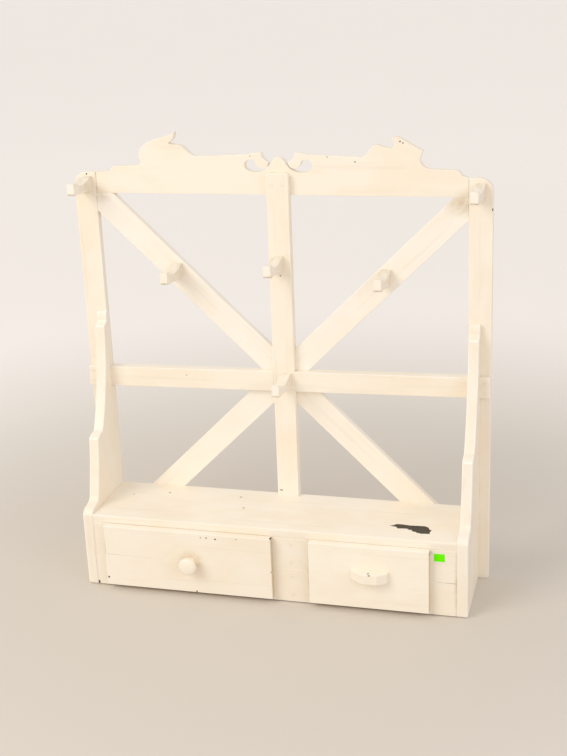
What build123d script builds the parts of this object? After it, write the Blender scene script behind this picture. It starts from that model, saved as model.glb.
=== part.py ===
"""Painted pine hall rack: a braced peg frame with a scroll crest over a shelf and two drawers."""
from build123d import *
import math
import os

os.makedirs("parts", exist_ok=True)

# ------------------------------------------------------------------ driving dimensions, mm
# While the pieces are made, x = 0 is mid-width, y = 0 is the front face of the frame boards
# (the viewer stands at -y) and z = 0 is the floor. save() then centres the whole rack in y.

# Stock
FRAME_THICK = 14.0          # posts, crest, braces, back board
BAR_THICK = 19.0            # stile and mid rail
SIDE_THICK = 19.0           # shaped side boards
SHELF_THICK = 16.0
FASCIA_THICK = 14.0
FRONT_THICK = 14.0          # drawer fronts
BOX_THICK = 10.0            # drawer sides and backs
BOTTOM_THICK = 5.0          # drawer bottoms
DIVIDER_THICK = 19.0
ARRIS = 0.8                 # chamfer that breaks the long edges

# Peg frame
OVERALL_WIDTH = 760.0
POST_WIDTH = 41.0
POST_ROUND = 24.0           # outer top corner
CREST_BOTTOM = 717.0
CREST_HEIGHT = 110.0        # lower edge to the tip of the left scroll
CREST_AXIS_X = 6.5          # the scrolls mirror about this line
LEFT_END_HEIGHT = 38.0      # crest at the left post, and the post's top with it
RIGHT_END_HEIGHT = 33.0
BAR_LET_IN = 7.0            # stile and rail let into the boards behind them
STILE_WIDTH = 40.0
STILE_HEAD_RISE = 40.0      # head of the stile over the crest's lower edge
STILE_FOOT_X = 3.5          # the stile leans a little to the right
STILE_HEAD_X = 6.5
STILE_ROUND = 5.0
RAIL_HEIGHT = 38.0
RAIL_MID_Z = 373.5
RAIL_RISE = 13.0            # the rail is nailed out of level, up to the right
BRACE_WIDTH = 45.5
BRACE_CROSS_X = 3.8         # where the two diagonals meet
BRACE_CROSS_Z = 381.5
BRACE_HEAD_DROP = 8.4       # their line meets the post this far under the crest
BRACE_START = 12.0          # each brace is laid out from this far along its diagonal
FOOT_LAP = 40.0             # how far the stile and brace feet lap the back board

# Case
CASE_SHIFT = 3.5            # the case sits this far right of the frame's middle
CASE_DEPTH = 157.5
SIDE_TOP = 495.0
SIDE_TOE = 4.0              # clipped front corner at the floor
SHELF_TOP = 144.5
SHELF_SETBACK = 2.0         # shelf behind the front edges of the side boards
SHELF_NOSE = 2.5            # rounding of its front arrises
SHELF_TONGUE = 9.0          # thickness of the tongue at each end of the shelf
SHELF_HOUSING = 6.0         # how far it enters the side board
NOTCH_CLEARANCE = 0.1       # shelf notch round the stile
FASCIA_INSET = 2.0          # fascia behind the front edges of the side boards
FASCIA_BOTTOM = 2.0
FASCIA_SEAM = 66.5          # top of the wide lower board
SILL_TOP = 20.0             # lower board left under each drawer opening

# Drawers
LEFT_MARGIN = 25.5          # side board to the left drawer front
LEFT_FRONT_WIDTH = 320.0
MIDDLE_GAP = 69.0           # between the two fronts
RIGHT_MARGIN = 47.5         # right drawer front to the side board
FRONT_BOTTOM = 10.0
FRONT_TOP_LAP = 1.5         # the front over the edge of the shelf
FRONT_OVERLAY = 8.0         # the front covers the opening by this much at each side
FRONT_GAP = 0.5             # between the closed front and the fascia
SIDE_CLEARANCE = 1.5        # drawer box to opening, each side
RUN_CLEARANCE = 0.5         # drawer side over its runner
BOX_TOP_GAP = 11.0          # drawer side to the underside of the shelf
BACK_STEP = 4.0             # the drawer back is lower than the sides
BACK_INSET = 2.0            # and set in from their rear ends
BOX_BACK_CLEARANCE = 6.0    # closed drawer to the back board
FRONT_HOUSING = 6.0         # drawer sides let into the back of the front
BOTTOM_GROOVE = 4.0
BOTTOM_RAISE = 6.0          # drawer bottom above the lower edge of the sides
RUNNER_WIDTH = 20.0
RUNNER_RISE = 1.0           # runner over the sill, so that the box clears it
RUNNER_REACH = 2.0          # runner under the guide beside it
GUIDE_HEIGHT = 22.0

# Knob, pull and their screws; each is placed from the middle of its drawer front
KNOB_OFFSET = (7.0, 1.0)
KNOB_RADIUS = 16.5
KNOB_LENGTH = 25.0
PULL_OFFSET = (2.5, 7.5)
PULL_LENGTH = 67.0
PULL_HEIGHT = 19.0
PULL_DEPTH = 21.0
PULL_SCREW_SPACING = 36.0
SCREW_RADIUS = 2.0
SCREW_HEAD_RADIUS = 4.0
SCREW_HEAD_HEIGHT = 2.4
SCREW_BITE = 12.0           # thread inside the knob or pull
HOLE_CLEARANCE = 0.15       # round holes over what they hold, on the radius

# Hook pegs, which taper from the board to the tip
PEG_ROOT_WIDTH = 21.0
PEG_TIP_WIDTH = 13.0
PEG_CROWN = 9.0             # rounding of the peg's top
PEG_LENGTH = 74.0
PEG_HEIGHT = 29.5
PEG_TENON_RADIUS = 4.0
PEG_TENON_LENGTH = 10.0
LEFT_POST_PEG = (3.5, 1.5)      # from the post's centre line and the crest's lower edge
RIGHT_POST_PEG = (-2.5, -4.5)
STILE_PEG = (-4.0, 200.0)       # from the stile's centre line and the crossing
CROSSING_PEG = (3.3, -19.5)
LEFT_BRACE_PEG = (274.3, 2.1)    # along the brace from the crossing, and up from its line
RIGHT_BRACE_PEG = (264.3, 8.1)

# Nails and dowels
NAIL_RADIUS = 1.2
NAIL_HEAD_RADIUS = 2.6
NAIL_HEAD_HEIGHT = 1.2
NAIL_BITE = 5.0             # a frame nail's point past the bar that it goes through
FRAME_NAIL_SPREAD = 9.0     # frame nails from the centre line of the bar or post
STILE_NAIL_RISE = 20.0      # over the crest's lower edge
SHELF_NAIL_LENGTH = 45.0
SHELF_NAIL_MARGIN = 30.0    # from the shelf's front and back edges
FASCIA_NAIL_LENGTH = 40.0
FASCIA_NAIL_MARGIN = 13.0   # from the long edges of the fascia boards
DOWEL_RADIUS = 4.0
DOWEL_LENGTH = 40.0
DOWEL_RISE = 26.0           # over the crest's lower edge

# Price sticker: a bare coloured label
STICKER_WIDTH = 19.0
STICKER_HEIGHT = 15.0
STICKER_THICK = 0.3
STICKER_RIGHT_MARGIN = 21.5
STICKER_TOP_MARGIN = 6.5

# ------------------------------------------------------------------ outlines
# Two points are a straight stroke, three an arc and four or more a flowing curve.

# Scroll-sawn top of the crest from an end to the axis, as shares of the half length and of
# the height. The outer scrolls were cut by eye: the left one has a sharp tip, the right a blunt one.
CREST_LEFT_SCROLL = [
    [(0.944, 0.350), (0.928, 0.373), (0.917, 0.418), (0.897, 0.445)],
    [(0.897, 0.445), (0.776, 0.455)],
    [(0.776, 0.455), (0.760, 0.477), (0.752, 0.527)],
    [(0.752, 0.527), (0.760, 0.623), (0.752, 0.718)],
    [(0.752, 0.718), (0.735, 0.777), (0.678, 0.868), (0.556, 1.000)],
    [(0.556, 1.000), (0.565, 0.895), (0.593, 0.823)],
    [(0.593, 0.823), (0.560, 0.795), (0.527, 0.786), (0.490, 0.691), (0.454, 0.618), (0.416, 0.614)],
]
CREST_RIGHT_SCROLL = [
    [(0.944, 0.333), (0.935, 0.386), (0.916, 0.417)],
    [(0.916, 0.417), (0.796, 0.429)],
    [(0.796, 0.429), (0.752, 0.480), (0.734, 0.568)],
    [(0.734, 0.568), (0.740, 0.638), (0.749, 0.695)],
    [(0.749, 0.695), (0.749, 0.713), (0.741, 0.725)],
    [(0.741, 0.725), (0.711, 0.775), (0.671, 0.848), (0.631, 0.916)],
    [(0.631, 0.916), (0.610, 0.923), (0.593, 0.900)],
    [(0.593, 0.900), (0.607, 0.830), (0.590, 0.746)],
    [(0.590, 0.746), (0.556, 0.766), (0.524, 0.800)],
    [(0.524, 0.800), (0.484, 0.745), (0.458, 0.640), (0.416, 0.614)],
]
CREST_INNER = [
    [(0.416, 0.614), (0.159, 0.645)],
    [(0.159, 0.645), (0.124, 0.668), (0.090, 0.677)],
    [(0.090, 0.677), (0.081, 0.591), (0.053, 0.527)],
    [(0.053, 0.527), (0.066, 0.441), (0.094, 0.427)],
    [(0.094, 0.427), (0.114, 0.473), (0.124, 0.541)],
    [(0.124, 0.541), (0.147, 0.568), (0.170, 0.541)],
    [(0.170, 0.541), (0.181, 0.459), (0.165, 0.391)],
    [(0.165, 0.391), (0.121, 0.359), (0.077, 0.395)],
    [(0.077, 0.395), (0.047, 0.473), (0.027, 0.564)],
    [(0.027, 0.564), (0.015, 0.594), (0.000, 0.605)],
]

# Shaped front edge of a side board from the top down, as shares of its depth and of its
# height over the shelf
SIDE_EDGE = [
    [(0.000, 1.000), (0.057, 1.000)],
    [(0.057, 1.000), (0.076, 0.980), (0.076, 0.952)],
    [(0.076, 0.952), (0.114, 0.939), (0.156, 0.929)],
    [(0.156, 0.929), (0.184, 0.809), (0.235, 0.684), (0.330, 0.533), (0.476, 0.385)],
    [(0.476, 0.385), (0.559, 0.380), (0.629, 0.365)],
    [(0.629, 0.365), (0.644, 0.302), (0.673, 0.234), (0.717, 0.148), (0.762, 0.068)],
    [(0.762, 0.068), (0.800, 0.040), (0.876, 0.030), (0.952, 0.020), (1.000, -0.009)],
]

# Side view of a hook peg, as shares of its length and height
PEG_OUTLINE = [
    [(0.000, 1.000), (0.068, 0.985), (0.162, 0.915)],
    [(0.162, 0.915), (0.297, 0.780), (0.432, 0.695), (0.595, 0.680), (0.757, 0.780), (0.892, 0.950)],
    [(0.892, 0.950), (1.000, 0.983)],
    [(1.000, 0.983), (1.000, 0.475)],
    [(1.000, 0.475), (0.986, 0.310), (0.905, 0.220)],
    [(0.905, 0.220), (0.730, 0.205), (0.514, 0.185), (0.297, 0.140), (0.122, 0.050), (0.000, 0.000)],
    [(0.000, 0.000), (0.000, 1.000)],
]

# Half profile of the turned knob, as shares of its radius and length, out to the rim of its dome
KNOB_STEM = [
    [(0.00, 0.00), (0.50, 0.00)],
    [(0.50, 0.00), (0.42, 0.22), (0.55, 0.44)],
    [(0.55, 0.44), (1.00, 0.66), (0.93, 0.86)],
]

# Plan of the whittled bar pull, as shares of its length and depth
PULL_PLAN = [(0.0, 0.0), (1.0, 0.0), (1.0, 0.3), (0.955, 0.57), (0.74, 1.0), (0.34, 1.0), (0.014, 0.2)]

# ------------------------------------------------------------------ sizes that follow
POST_INNER = OVERALL_WIDTH / 2 - POST_WIDTH
POST_CENTRE = OVERALL_WIDTH / 2 - POST_WIDTH / 2
BAR_BACK = BAR_LET_IN
BAR_FRONT = BAR_BACK - BAR_THICK
CROSS_LAP = BAR_FRONT + BAR_THICK / 2
STILE_TOP = CREST_BOTTOM + STILE_HEAD_RISE
BRACE_SLOPE = math.atan2(CREST_BOTTOM - BRACE_HEAD_DROP - BRACE_CROSS_Z, POST_INNER - BRACE_CROSS_X)
CASE_LEFT = CASE_SHIFT - POST_INNER
CASE_RIGHT = CASE_SHIFT + POST_INNER
SHELF_UNDERSIDE = SHELF_TOP - SHELF_THICK
SHELF_DEPTH = CASE_DEPTH - SHELF_SETBACK
FASCIA_FRONT = FASCIA_INSET - CASE_DEPTH
FASCIA_BACK = FASCIA_FRONT + FASCIA_THICK
FRONT_BACK = FASCIA_FRONT - FRONT_GAP
FRONT_FACE = FRONT_BACK - FRONT_THICK
FRONT_TOP = SHELF_UNDERSIDE + FRONT_TOP_LAP
FRONT_MIDDLE = (FRONT_BOTTOM + FRONT_TOP) / 2
LEFT_FRONT_X = (CASE_LEFT + LEFT_MARGIN, CASE_LEFT + LEFT_MARGIN + LEFT_FRONT_WIDTH)
RIGHT_FRONT_X = (LEFT_FRONT_X[1] + MIDDLE_GAP, CASE_RIGHT - RIGHT_MARGIN)
RUNNER_TOP = SILL_TOP + RUNNER_RISE
BOX_BOTTOM = RUNNER_TOP + RUN_CLEARANCE
BOX_TOP = SHELF_UNDERSIDE - BOX_TOP_GAP
BOX_REAR = -BOX_BACK_CLEARANCE
BOTTOM_Z = (BOX_BOTTOM + BOTTOM_RAISE, BOX_BOTTOM + BOTTOM_RAISE + BOTTOM_THICK)
TOTAL_DEPTH = KNOB_LENGTH - FRONT_FACE + FRAME_THICK
CENTRING = TOTAL_DEPTH / 2 - FRAME_THICK


# ------------------------------------------------------------------ shared shapes
def block(x, y, z):
    """A square-cut board between the (low, high) limits given for each axis."""
    limits = (x, y, z)
    size = [high - low for low, high in limits]
    centre = [(high + low) / 2 for low, high in limits]
    return Pos(*centre) * Box(*size)


def eased(solid):
    """The solid with each of its edges broken by a small chamfer."""
    return chamfer(solid.edges(), ARRIS)


def stroke(points):
    """One piece of an outline: a line, an arc or a flowing curve."""
    if len(points) == 2:
        return Line(*points)
    if len(points) == 3:
        return ThreePointArc(*points)
    return Spline(*points)


def outline(strokes):
    """The flat face that a closed run of strokes bounds."""
    return make_face([stroke(points) for points in strokes])


def scaled(strokes, width, height, base=0.0):
    """Strokes given in shares, at real size and with their heights counted from a base."""
    return [[(u * width, base + v * height) for u, v in points] for points in strokes]


def joined(corners):
    """Straight strokes from each corner to the next."""
    return [list(pair) for pair in zip(corners, corners[1:])]


def polygon(*corners):
    """A straight-sided face."""
    return make_face(Polyline(*corners, close=True))


def slab(face, y_front, y_back):
    """A front-view face as a board between two depths."""
    plane = Plane(origin=(0, y_front, 0), x_dir=(1, 0, 0), z_dir=(0, -1, 0))
    return extrude(plane * face, y_front - y_back)


def side_slab(face, x_low, x_high):
    """A side-view face, drawn as (distance forward, height), as a board across x."""
    plane = Plane(origin=(x_high, 0, 0), x_dir=(0, -1, 0), z_dir=(-1, 0, 0))
    return extrude(plane * face, x_high - x_low)


def rod(start, direction, length, radius):
    """A round bar from a point along a direction."""
    return extrude(Plane(origin=start, z_dir=direction) * Circle(radius), length)


def nail(start, direction, length, ease=0.0):
    """A wire nail driven flush; ease grows it into the hole that it makes."""
    shank = rod(start, direction, length + ease, NAIL_RADIUS + ease)
    return shank + rod(start, direction, NAIL_HEAD_HEIGHT, NAIL_HEAD_RADIUS + ease)


# ------------------------------------------------------------------ lines of the peg frame
def stile_x(z, side=0):
    """x of the stile's centre line, or of its left (-1) or right (+1) edge, at height z."""
    lean = (STILE_HEAD_X - STILE_FOOT_X) / (STILE_TOP - SHELF_TOP)
    return STILE_FOOT_X + lean * (z - SHELF_TOP) + side * STILE_WIDTH / 2


def rail_z(x, side=0):
    """Height of the mid rail's centre line, or of its lower (-1) or upper (+1) edge, at x."""
    return RAIL_MID_Z + RAIL_RISE / OVERALL_WIDTH * x + side * RAIL_HEIGHT / 2


def brace_point(x_side, z_side, distance):
    """The point on a diagonal's centre line at a distance from the crossing."""
    along = Vector(x_side * math.cos(BRACE_SLOPE), z_side * math.sin(BRACE_SLOPE))
    return Vector(BRACE_CROSS_X, BRACE_CROSS_Z) + along * distance


def stile_face(z_low):
    """Front view of the stile from a height up to its rounded head."""
    face = polygon((stile_x(z_low, -1), z_low), (stile_x(z_low, 1), z_low),
                   (stile_x(STILE_TOP, 1), STILE_TOP), (stile_x(STILE_TOP, -1), STILE_TOP))
    return fillet(face.vertices().sort_by(Axis.Y)[-2:], STILE_ROUND)


def rail_face():
    """Front view of the mid rail across the whole width."""
    half = OVERALL_WIDTH / 2
    return polygon((-half, rail_z(-half, -1)), (half, rail_z(half, -1)),
                   (half, rail_z(half, 1)), (-half, rail_z(-half, 1)))


def stile_path():
    """The space that the stile fills."""
    return slab(stile_face(0.0), BAR_FRONT, BAR_BACK)


def rail_path():
    """The space that the mid rail fills."""
    return slab(rail_face(), BAR_FRONT, BAR_BACK)


# ------------------------------------------------------------------ peg frame
def post(side):
    """A side post with a rounded outer shoulder, halved for the mid rail."""
    top = CREST_BOTTOM + (LEFT_END_HEIGHT if side < 0 else RIGHT_END_HEIGHT)
    x = sorted((side * POST_INNER, side * OVERALL_WIDTH / 2))
    board = block(x, (0.0, FRAME_THICK), (0.0, top))
    shoulder = board.edges().filter_by(Axis.Y).group_by(Axis.Z)[-1].sort_by(Axis.X)
    board = fillet(shoulder[0 if side < 0 else -1], POST_ROUND)
    return eased(board) - rail_path()


def crest_outline():
    """The crest board: straight foot, an outer scroll each side, inner curls mirrored about its axis."""
    strokes = []
    for side, scroll in ((-1, CREST_LEFT_SCROLL), (1, CREST_RIGHT_SCROLL)):
        half = scaled(scroll + CREST_INNER, POST_INNER, CREST_HEIGHT, CREST_BOTTOM)
        strokes += [[(CREST_AXIS_X + side * d, z) for d, z in points] for points in half]
        end_height = LEFT_END_HEIGHT if side < 0 else RIGHT_END_HEIGHT
        end = (side * POST_INNER, CREST_BOTTOM + end_height)
        strokes.append([end, (CREST_AXIS_X + side * half[0][0][0], half[0][0][1])])
        strokes.append([end, (side * POST_INNER, CREST_BOTTOM)])
    strokes.append([(-POST_INNER, CREST_BOTTOM), (POST_INNER, CREST_BOTTOM)])
    return outline(strokes)


def crest():
    """The scroll crest, housed at the front for the head of the stile."""
    return slab(crest_outline(), 0.0, FRAME_THICK) - stile_path()


def centre_stile():
    """The upright: the shelf is notched round it, and its back laps down over the back board."""
    bar = eased(slab(stile_face(SHELF_UNDERSIDE - FOOT_LAP), BAR_FRONT, BAR_BACK))
    drawer_space = block((CASE_LEFT, CASE_RIGHT), (BAR_FRONT, 0.0), (0.0, SHELF_UNDERSIDE))
    return bar - drawer_space - slab(rail_face(), CROSS_LAP, BAR_BACK)


def mid_rail():
    """The cross bar, halved under the stile."""
    return eased(rail_path()) - slab(stile_face(0.0), BAR_FRONT, CROSS_LAP)


def brace(x_side, z_side):
    """A brace that runs from the crossing to a corner, fitted between stile, rail and post."""
    start = brace_point(x_side, z_side, BRACE_START)
    end = brace_point(x_side, z_side, OVERALL_WIDTH)
    across = Vector(start.Y - end.Y, end.X - start.X).normalized() * (BRACE_WIDTH / 2)
    strip = polygon(start + across, start - across, end - across, end + across)
    board = eased(slab(strip, 0.0, FRAME_THICK))
    opening = block((-POST_INNER, POST_INNER), (0.0, FRAME_THICK), (SHELF_UNDERSIDE - FOOT_LAP, CREST_BOTTOM))
    board = board & opening
    foot_space = block((-POST_INNER, POST_INNER), (BAR_LET_IN, FRAME_THICK), (0.0, SHELF_UNDERSIDE))
    across_paths = slab(stile_face(0.0), 0.0, FRAME_THICK) + slab(rail_face(), 0.0, FRAME_THICK)
    return board - foot_space - across_paths


def back_board():
    """The board that closes the back of the case, halved for the feet of the frame."""
    board = block((-POST_INNER, POST_INNER), (0.0, FRAME_THICK), (FASCIA_BOTTOM, SHELF_UNDERSIDE))
    return board - centre_stile() - brace(-1, -1) - brace(1, -1)


def peg_places():
    """Back lower centre of every peg, by name."""
    left_post = (-POST_CENTRE + LEFT_POST_PEG[0], CREST_BOTTOM + LEFT_POST_PEG[1])
    right_post = (POST_CENTRE + RIGHT_POST_PEG[0], CREST_BOTTOM + RIGHT_POST_PEG[1])
    left_brace = brace_point(-1, 1, LEFT_BRACE_PEG[0])
    right_brace = brace_point(1, 1, RIGHT_BRACE_PEG[0])
    stile_z = BRACE_CROSS_Z + STILE_PEG[1]
    crossing_z = BRACE_CROSS_Z + CROSSING_PEG[1]
    return {
        "peg_left_post": (left_post[0], 0.0, left_post[1]),
        "peg_right_post": (right_post[0], 0.0, right_post[1]),
        "peg_upper_left_brace": (left_brace.X, 0.0, left_brace.Y + LEFT_BRACE_PEG[1] - PEG_HEIGHT / 2),
        "peg_upper_right_brace": (right_brace.X, 0.0, right_brace.Y + RIGHT_BRACE_PEG[1] - PEG_HEIGHT / 2),
        "peg_stile": (stile_x(stile_z) + STILE_PEG[0], BAR_FRONT, stile_z),
        "peg_crossing": (stile_x(crossing_z) + CROSSING_PEG[0], BAR_FRONT, crossing_z),
    }


def peg(place):
    """A carved hook peg: its side view, cut to a tapering plan and a round-topped front, with a round tenon."""
    root, tip = PEG_ROOT_WIDTH / 2, PEG_TIP_WIDTH / 2
    profile = side_slab(outline(scaled(PEG_OUTLINE, PEG_LENGTH, PEG_HEIGHT)), -root, root)
    plan = extrude(polygon((-root, 0), (-tip, -PEG_LENGTH), (tip, -PEG_LENGTH), (root, 0)), PEG_HEIGHT)
    front = polygon((-root, 0), (root, 0), (root, PEG_HEIGHT), (-root, PEG_HEIGHT))
    front = fillet(front.vertices().sort_by(Axis.Y)[-2:], PEG_CROWN)
    tenon = rod((0, 0, PEG_HEIGHT / 2), (0, 1, 0), PEG_TENON_LENGTH, PEG_TENON_RADIUS)
    return Pos(*place) * ((profile & plan & slab(front, -PEG_LENGTH, 0.0)) + tenon)


def peg_holes():
    """Tenon holes for all the pegs."""
    return [rod((x, y, z + PEG_HEIGHT / 2), (0, 1, 0), PEG_TENON_LENGTH + HOLE_CLEARANCE,
                PEG_TENON_RADIUS + HOLE_CLEARANCE) for x, y, z in peg_places().values()]


def dowels(ease=0.0):
    """The dowels that hold the crest's ends to the posts."""
    half = DOWEL_LENGTH / 2 + ease
    z = CREST_BOTTOM + DOWEL_RISE
    return [rod((side * POST_INNER - half, FRAME_THICK / 2, z), (1, 0, 0), 2 * half,
                DOWEL_RADIUS + ease) for side in (-1, 1)]


def frame_nails(ease=0.0):
    """Nails through the rail into the posts and through the stile into the crest."""
    post_x = OVERALL_WIDTH / 2 - FRAME_NAIL_SPREAD
    spread = (-FRAME_NAIL_SPREAD, FRAME_NAIL_SPREAD)
    places = [(side * post_x, rail_z(side * post_x) + dz) for side in (-1, 1) for dz in spread]
    head_z = CREST_BOTTOM + STILE_NAIL_RISE
    places += [(stile_x(head_z) + dx, head_z) for dx in spread]
    return [nail((x, BAR_FRONT, z), (0, 1, 0), BAR_THICK + NAIL_BITE, ease) for x, z in places]


# ------------------------------------------------------------------ case
def side_board(side):
    """A shaped side board, notched over the rail and grooved for the shelf's tongue."""
    shaped = scaled(SIDE_EDGE, CASE_DEPTH, SIDE_TOP - SHELF_TOP, SHELF_TOP)
    foot = [shaped[-1][-1], (CASE_DEPTH, SIDE_TOE), (CASE_DEPTH - SIDE_TOE, 0.0), (0.0, 0.0), (0.0, SIDE_TOP)]
    inner = CASE_LEFT if side < 0 else CASE_RIGHT
    x = sorted((inner, inner + side * SIDE_THICK))
    board = side_slab(outline(shaped + joined(foot)), *x)
    return board - rail_path() - shelf_tongues()


def shelf_tongues():
    """The lower part of the shelf with the tongue at each end."""
    x = (CASE_LEFT - SHELF_HOUSING, CASE_RIGHT + SHELF_HOUSING)
    return block(x, (SHELF_NOSE - SHELF_DEPTH, 0.0), (SHELF_UNDERSIDE, SHELF_UNDERSIDE + SHELF_TONGUE))


def shelf_board():
    """The shelf with a rounded front edge, notched for the stile."""
    board = block((CASE_LEFT, CASE_RIGHT), (-SHELF_DEPTH, 0.0), (SHELF_UNDERSIDE, SHELF_TOP))
    nose = board.edges().filter_by(Axis.X).group_by(Axis.Y)[0]
    stile_left = min(stile_x(SHELF_UNDERSIDE, -1), stile_x(SHELF_TOP, -1)) - NOTCH_CLEARANCE
    stile_right = max(stile_x(SHELF_UNDERSIDE, 1), stile_x(SHELF_TOP, 1)) + NOTCH_CLEARANCE
    notch = block((stile_left, stile_right), (BAR_FRONT - NOTCH_CLEARANCE, 0.0), (SHELF_UNDERSIDE, SHELF_TOP))
    return fillet(nose, SHELF_NOSE) + shelf_tongues() - notch


def opening_x(front_x):
    """The sides of the opening that an overlay front covers."""
    return (front_x[0] + FRONT_OVERLAY, front_x[1] - FRONT_OVERLAY)


def fascia_board():
    """The wide lower board with a notch for each drawer."""
    y = (FASCIA_FRONT, FASCIA_BACK)
    board = block((CASE_LEFT, CASE_RIGHT), y, (FASCIA_BOTTOM, FASCIA_SEAM))
    for front_x in (LEFT_FRONT_X, RIGHT_FRONT_X):
        board -= block(opening_x(front_x), y, (SILL_TOP, FASCIA_SEAM))
    return board


def fascia_block(x):
    """One of the short boards between the lower board and the shelf."""
    return block(x, (FASCIA_FRONT, FASCIA_BACK), (FASCIA_SEAM, SHELF_UNDERSIDE))


def divider_x():
    """The divider's faces, midway between the drawer openings."""
    middle = (LEFT_FRONT_X[1] + RIGHT_FRONT_X[0]) / 2
    return (middle - DIVIDER_THICK / 2, middle + DIVIDER_THICK / 2)


def centre_divider():
    """The partition under the shelf between the two drawers."""
    return block(divider_x(), (FASCIA_BACK, 0.0), (FASCIA_BOTTOM, SHELF_UNDERSIDE))


def runners():
    """The battens under each drawer side."""
    pieces = []
    for front_x in (LEFT_FRONT_X, RIGHT_FRONT_X):
        low, high = opening_x(front_x)
        low -= RUNNER_REACH
        high += RUNNER_REACH
        for x in ((low, low + RUNNER_WIDTH), (high - RUNNER_WIDTH, high)):
            pieces.append(block(x, (FASCIA_BACK, 0.0), (FASCIA_BOTTOM, RUNNER_TOP)))
    return pieces


def guides():
    """The strips beside each drawer that keep it straight."""
    pieces = []
    z = (RUNNER_TOP, RUNNER_TOP + GUIDE_HEIGHT)
    for front_x in (LEFT_FRONT_X, RIGHT_FRONT_X):
        low, high = opening_x(front_x)
        for x in ((low - RUNNER_WIDTH, low), (high, high + RUNNER_WIDTH)):
            pieces.append(block(x, (FASCIA_BACK, 0.0), z))
    return pieces


def case_nails(ease=0.0):
    """Nails through the side boards into the shelf and through the fascia into the divider."""
    tongue_z = SHELF_UNDERSIDE + SHELF_TONGUE / 2
    shelf_y = (-SHELF_NAIL_MARGIN, -SHELF_DEPTH / 2, SHELF_NAIL_MARGIN - SHELF_DEPTH)
    pieces = []
    for x, direction in ((CASE_LEFT - SIDE_THICK, 1), (CASE_RIGHT + SIDE_THICK, -1)):
        for y in shelf_y:
            pieces.append(nail((x, y, tongue_z), (direction, 0, 0), SHELF_NAIL_LENGTH, ease))
    middle = sum(divider_x()) / 2
    for low, high in ((FASCIA_BOTTOM, FASCIA_SEAM), (FASCIA_SEAM, SHELF_UNDERSIDE)):
        for z in (low + FASCIA_NAIL_MARGIN, high - FASCIA_NAIL_MARGIN):
            pieces.append(nail((middle, FASCIA_FRONT, z), (0, 1, 0), FASCIA_NAIL_LENGTH, ease))
    return pieces


def price_sticker():
    """A bare coloured label on the right end of the fascia."""
    right = CASE_RIGHT - STICKER_RIGHT_MARGIN
    top = SHELF_UNDERSIDE - STICKER_TOP_MARGIN
    y = (FASCIA_FRONT - STICKER_THICK, FASCIA_FRONT)
    return block((right - STICKER_WIDTH, right), y, (top - STICKER_HEIGHT, top))


# ------------------------------------------------------------------ drawers
def box_x(front_x):
    """The outer faces of a drawer's two sides."""
    low, high = opening_x(front_x)
    return (low + SIDE_CLEARANCE, high - SIDE_CLEARANCE)


def drawer_bottom(front_x):
    """A thin board that slides in under the back, in grooves in the sides and front."""
    low, high = box_x(front_x)
    inset = BOX_THICK - BOTTOM_GROOVE
    return block((low + inset, high - inset), (FRONT_BACK - BOTTOM_GROOVE, BOX_REAR), BOTTOM_Z)


def drawer_side(front_x, side):
    """A drawer side, its front end let into the drawer front, grooved for the bottom."""
    low, high = box_x(front_x)
    x = (low, low + BOX_THICK) if side < 0 else (high - BOX_THICK, high)
    board = block(x, (FRONT_BACK - FRONT_HOUSING, BOX_REAR), (BOX_BOTTOM, BOX_TOP))
    return board - drawer_bottom(front_x)


def drawer_back(front_x):
    """The back, between the sides and standing on the bottom."""
    low, high = box_x(front_x)
    rear = BOX_REAR - BACK_INSET
    return block((low + BOX_THICK, high - BOX_THICK), (rear - BOX_THICK, rear), (BOTTOM_Z[1], BOX_TOP - BACK_STEP))


def drawer_front(front_x, holes):
    """The overlay front, housed at the back for the sides and bottom and bored for its screws."""
    board = eased(block(front_x, (FRONT_FACE, FRONT_BACK), (FRONT_BOTTOM, FRONT_TOP)))
    board -= drawer_side(front_x, -1)
    board -= drawer_side(front_x, 1)
    board -= drawer_bottom(front_x)
    for x, z in holes:
        board -= rod((x, FRONT_BACK, z), (0, -1, 0), FRONT_THICK, SCREW_RADIUS + HOLE_CLEARANCE)
    return board


def on_front(front_x, offset):
    """A point on a drawer front, offset from its middle."""
    return (sum(front_x) / 2 + offset[0], FRONT_MIDDLE + offset[1])


def screw(place, ease=0.0):
    """A screw from inside the drawer into a knob or pull."""
    x, z = place
    shank = rod((x, FRONT_BACK, z), (0, -1, 0), FRONT_THICK + SCREW_BITE + ease, SCREW_RADIUS + ease)
    return shank + rod((x, FRONT_BACK, z), (0, 1, 0), SCREW_HEAD_HEIGHT, SCREW_HEAD_RADIUS)


def knob_place():
    """Centre of the knob on the left drawer front."""
    return on_front(LEFT_FRONT_X, KNOB_OFFSET)


def knob():
    """A turned mushroom knob with a domed face."""
    stem = [stroke(points) for points in scaled(
        [[(r * KNOB_RADIUS, y) for r, y in points] for points in KNOB_STEM], 1.0, KNOB_LENGTH)]
    rim = (KNOB_STEM[-1][-1][0] * KNOB_RADIUS, KNOB_STEM[-1][-1][1] * KNOB_LENGTH)
    crown = (0.0, KNOB_LENGTH)
    rise = crown[1] - rim[1]
    dome_radius = (rim[0] ** 2 + rise ** 2) / (2 * rise)
    edges = stem + [RadiusArc(rim, crown, -dome_radius), Line(crown, (0.0, 0.0))]
    turned = revolve(Plane.XZ * make_face(edges), Axis.Z)
    x, z = knob_place()
    return Pos(x, FRONT_FACE, z) * Rot(90, 0, 0) * turned - screw(knob_place(), HOLE_CLEARANCE)


def pull_screw_places():
    """Screw centres of the bar pull."""
    x, z = on_front(RIGHT_FRONT_X, PULL_OFFSET)
    return [(x - PULL_SCREW_SPACING / 2, z), (x + PULL_SCREW_SPACING / 2, z)]


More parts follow.
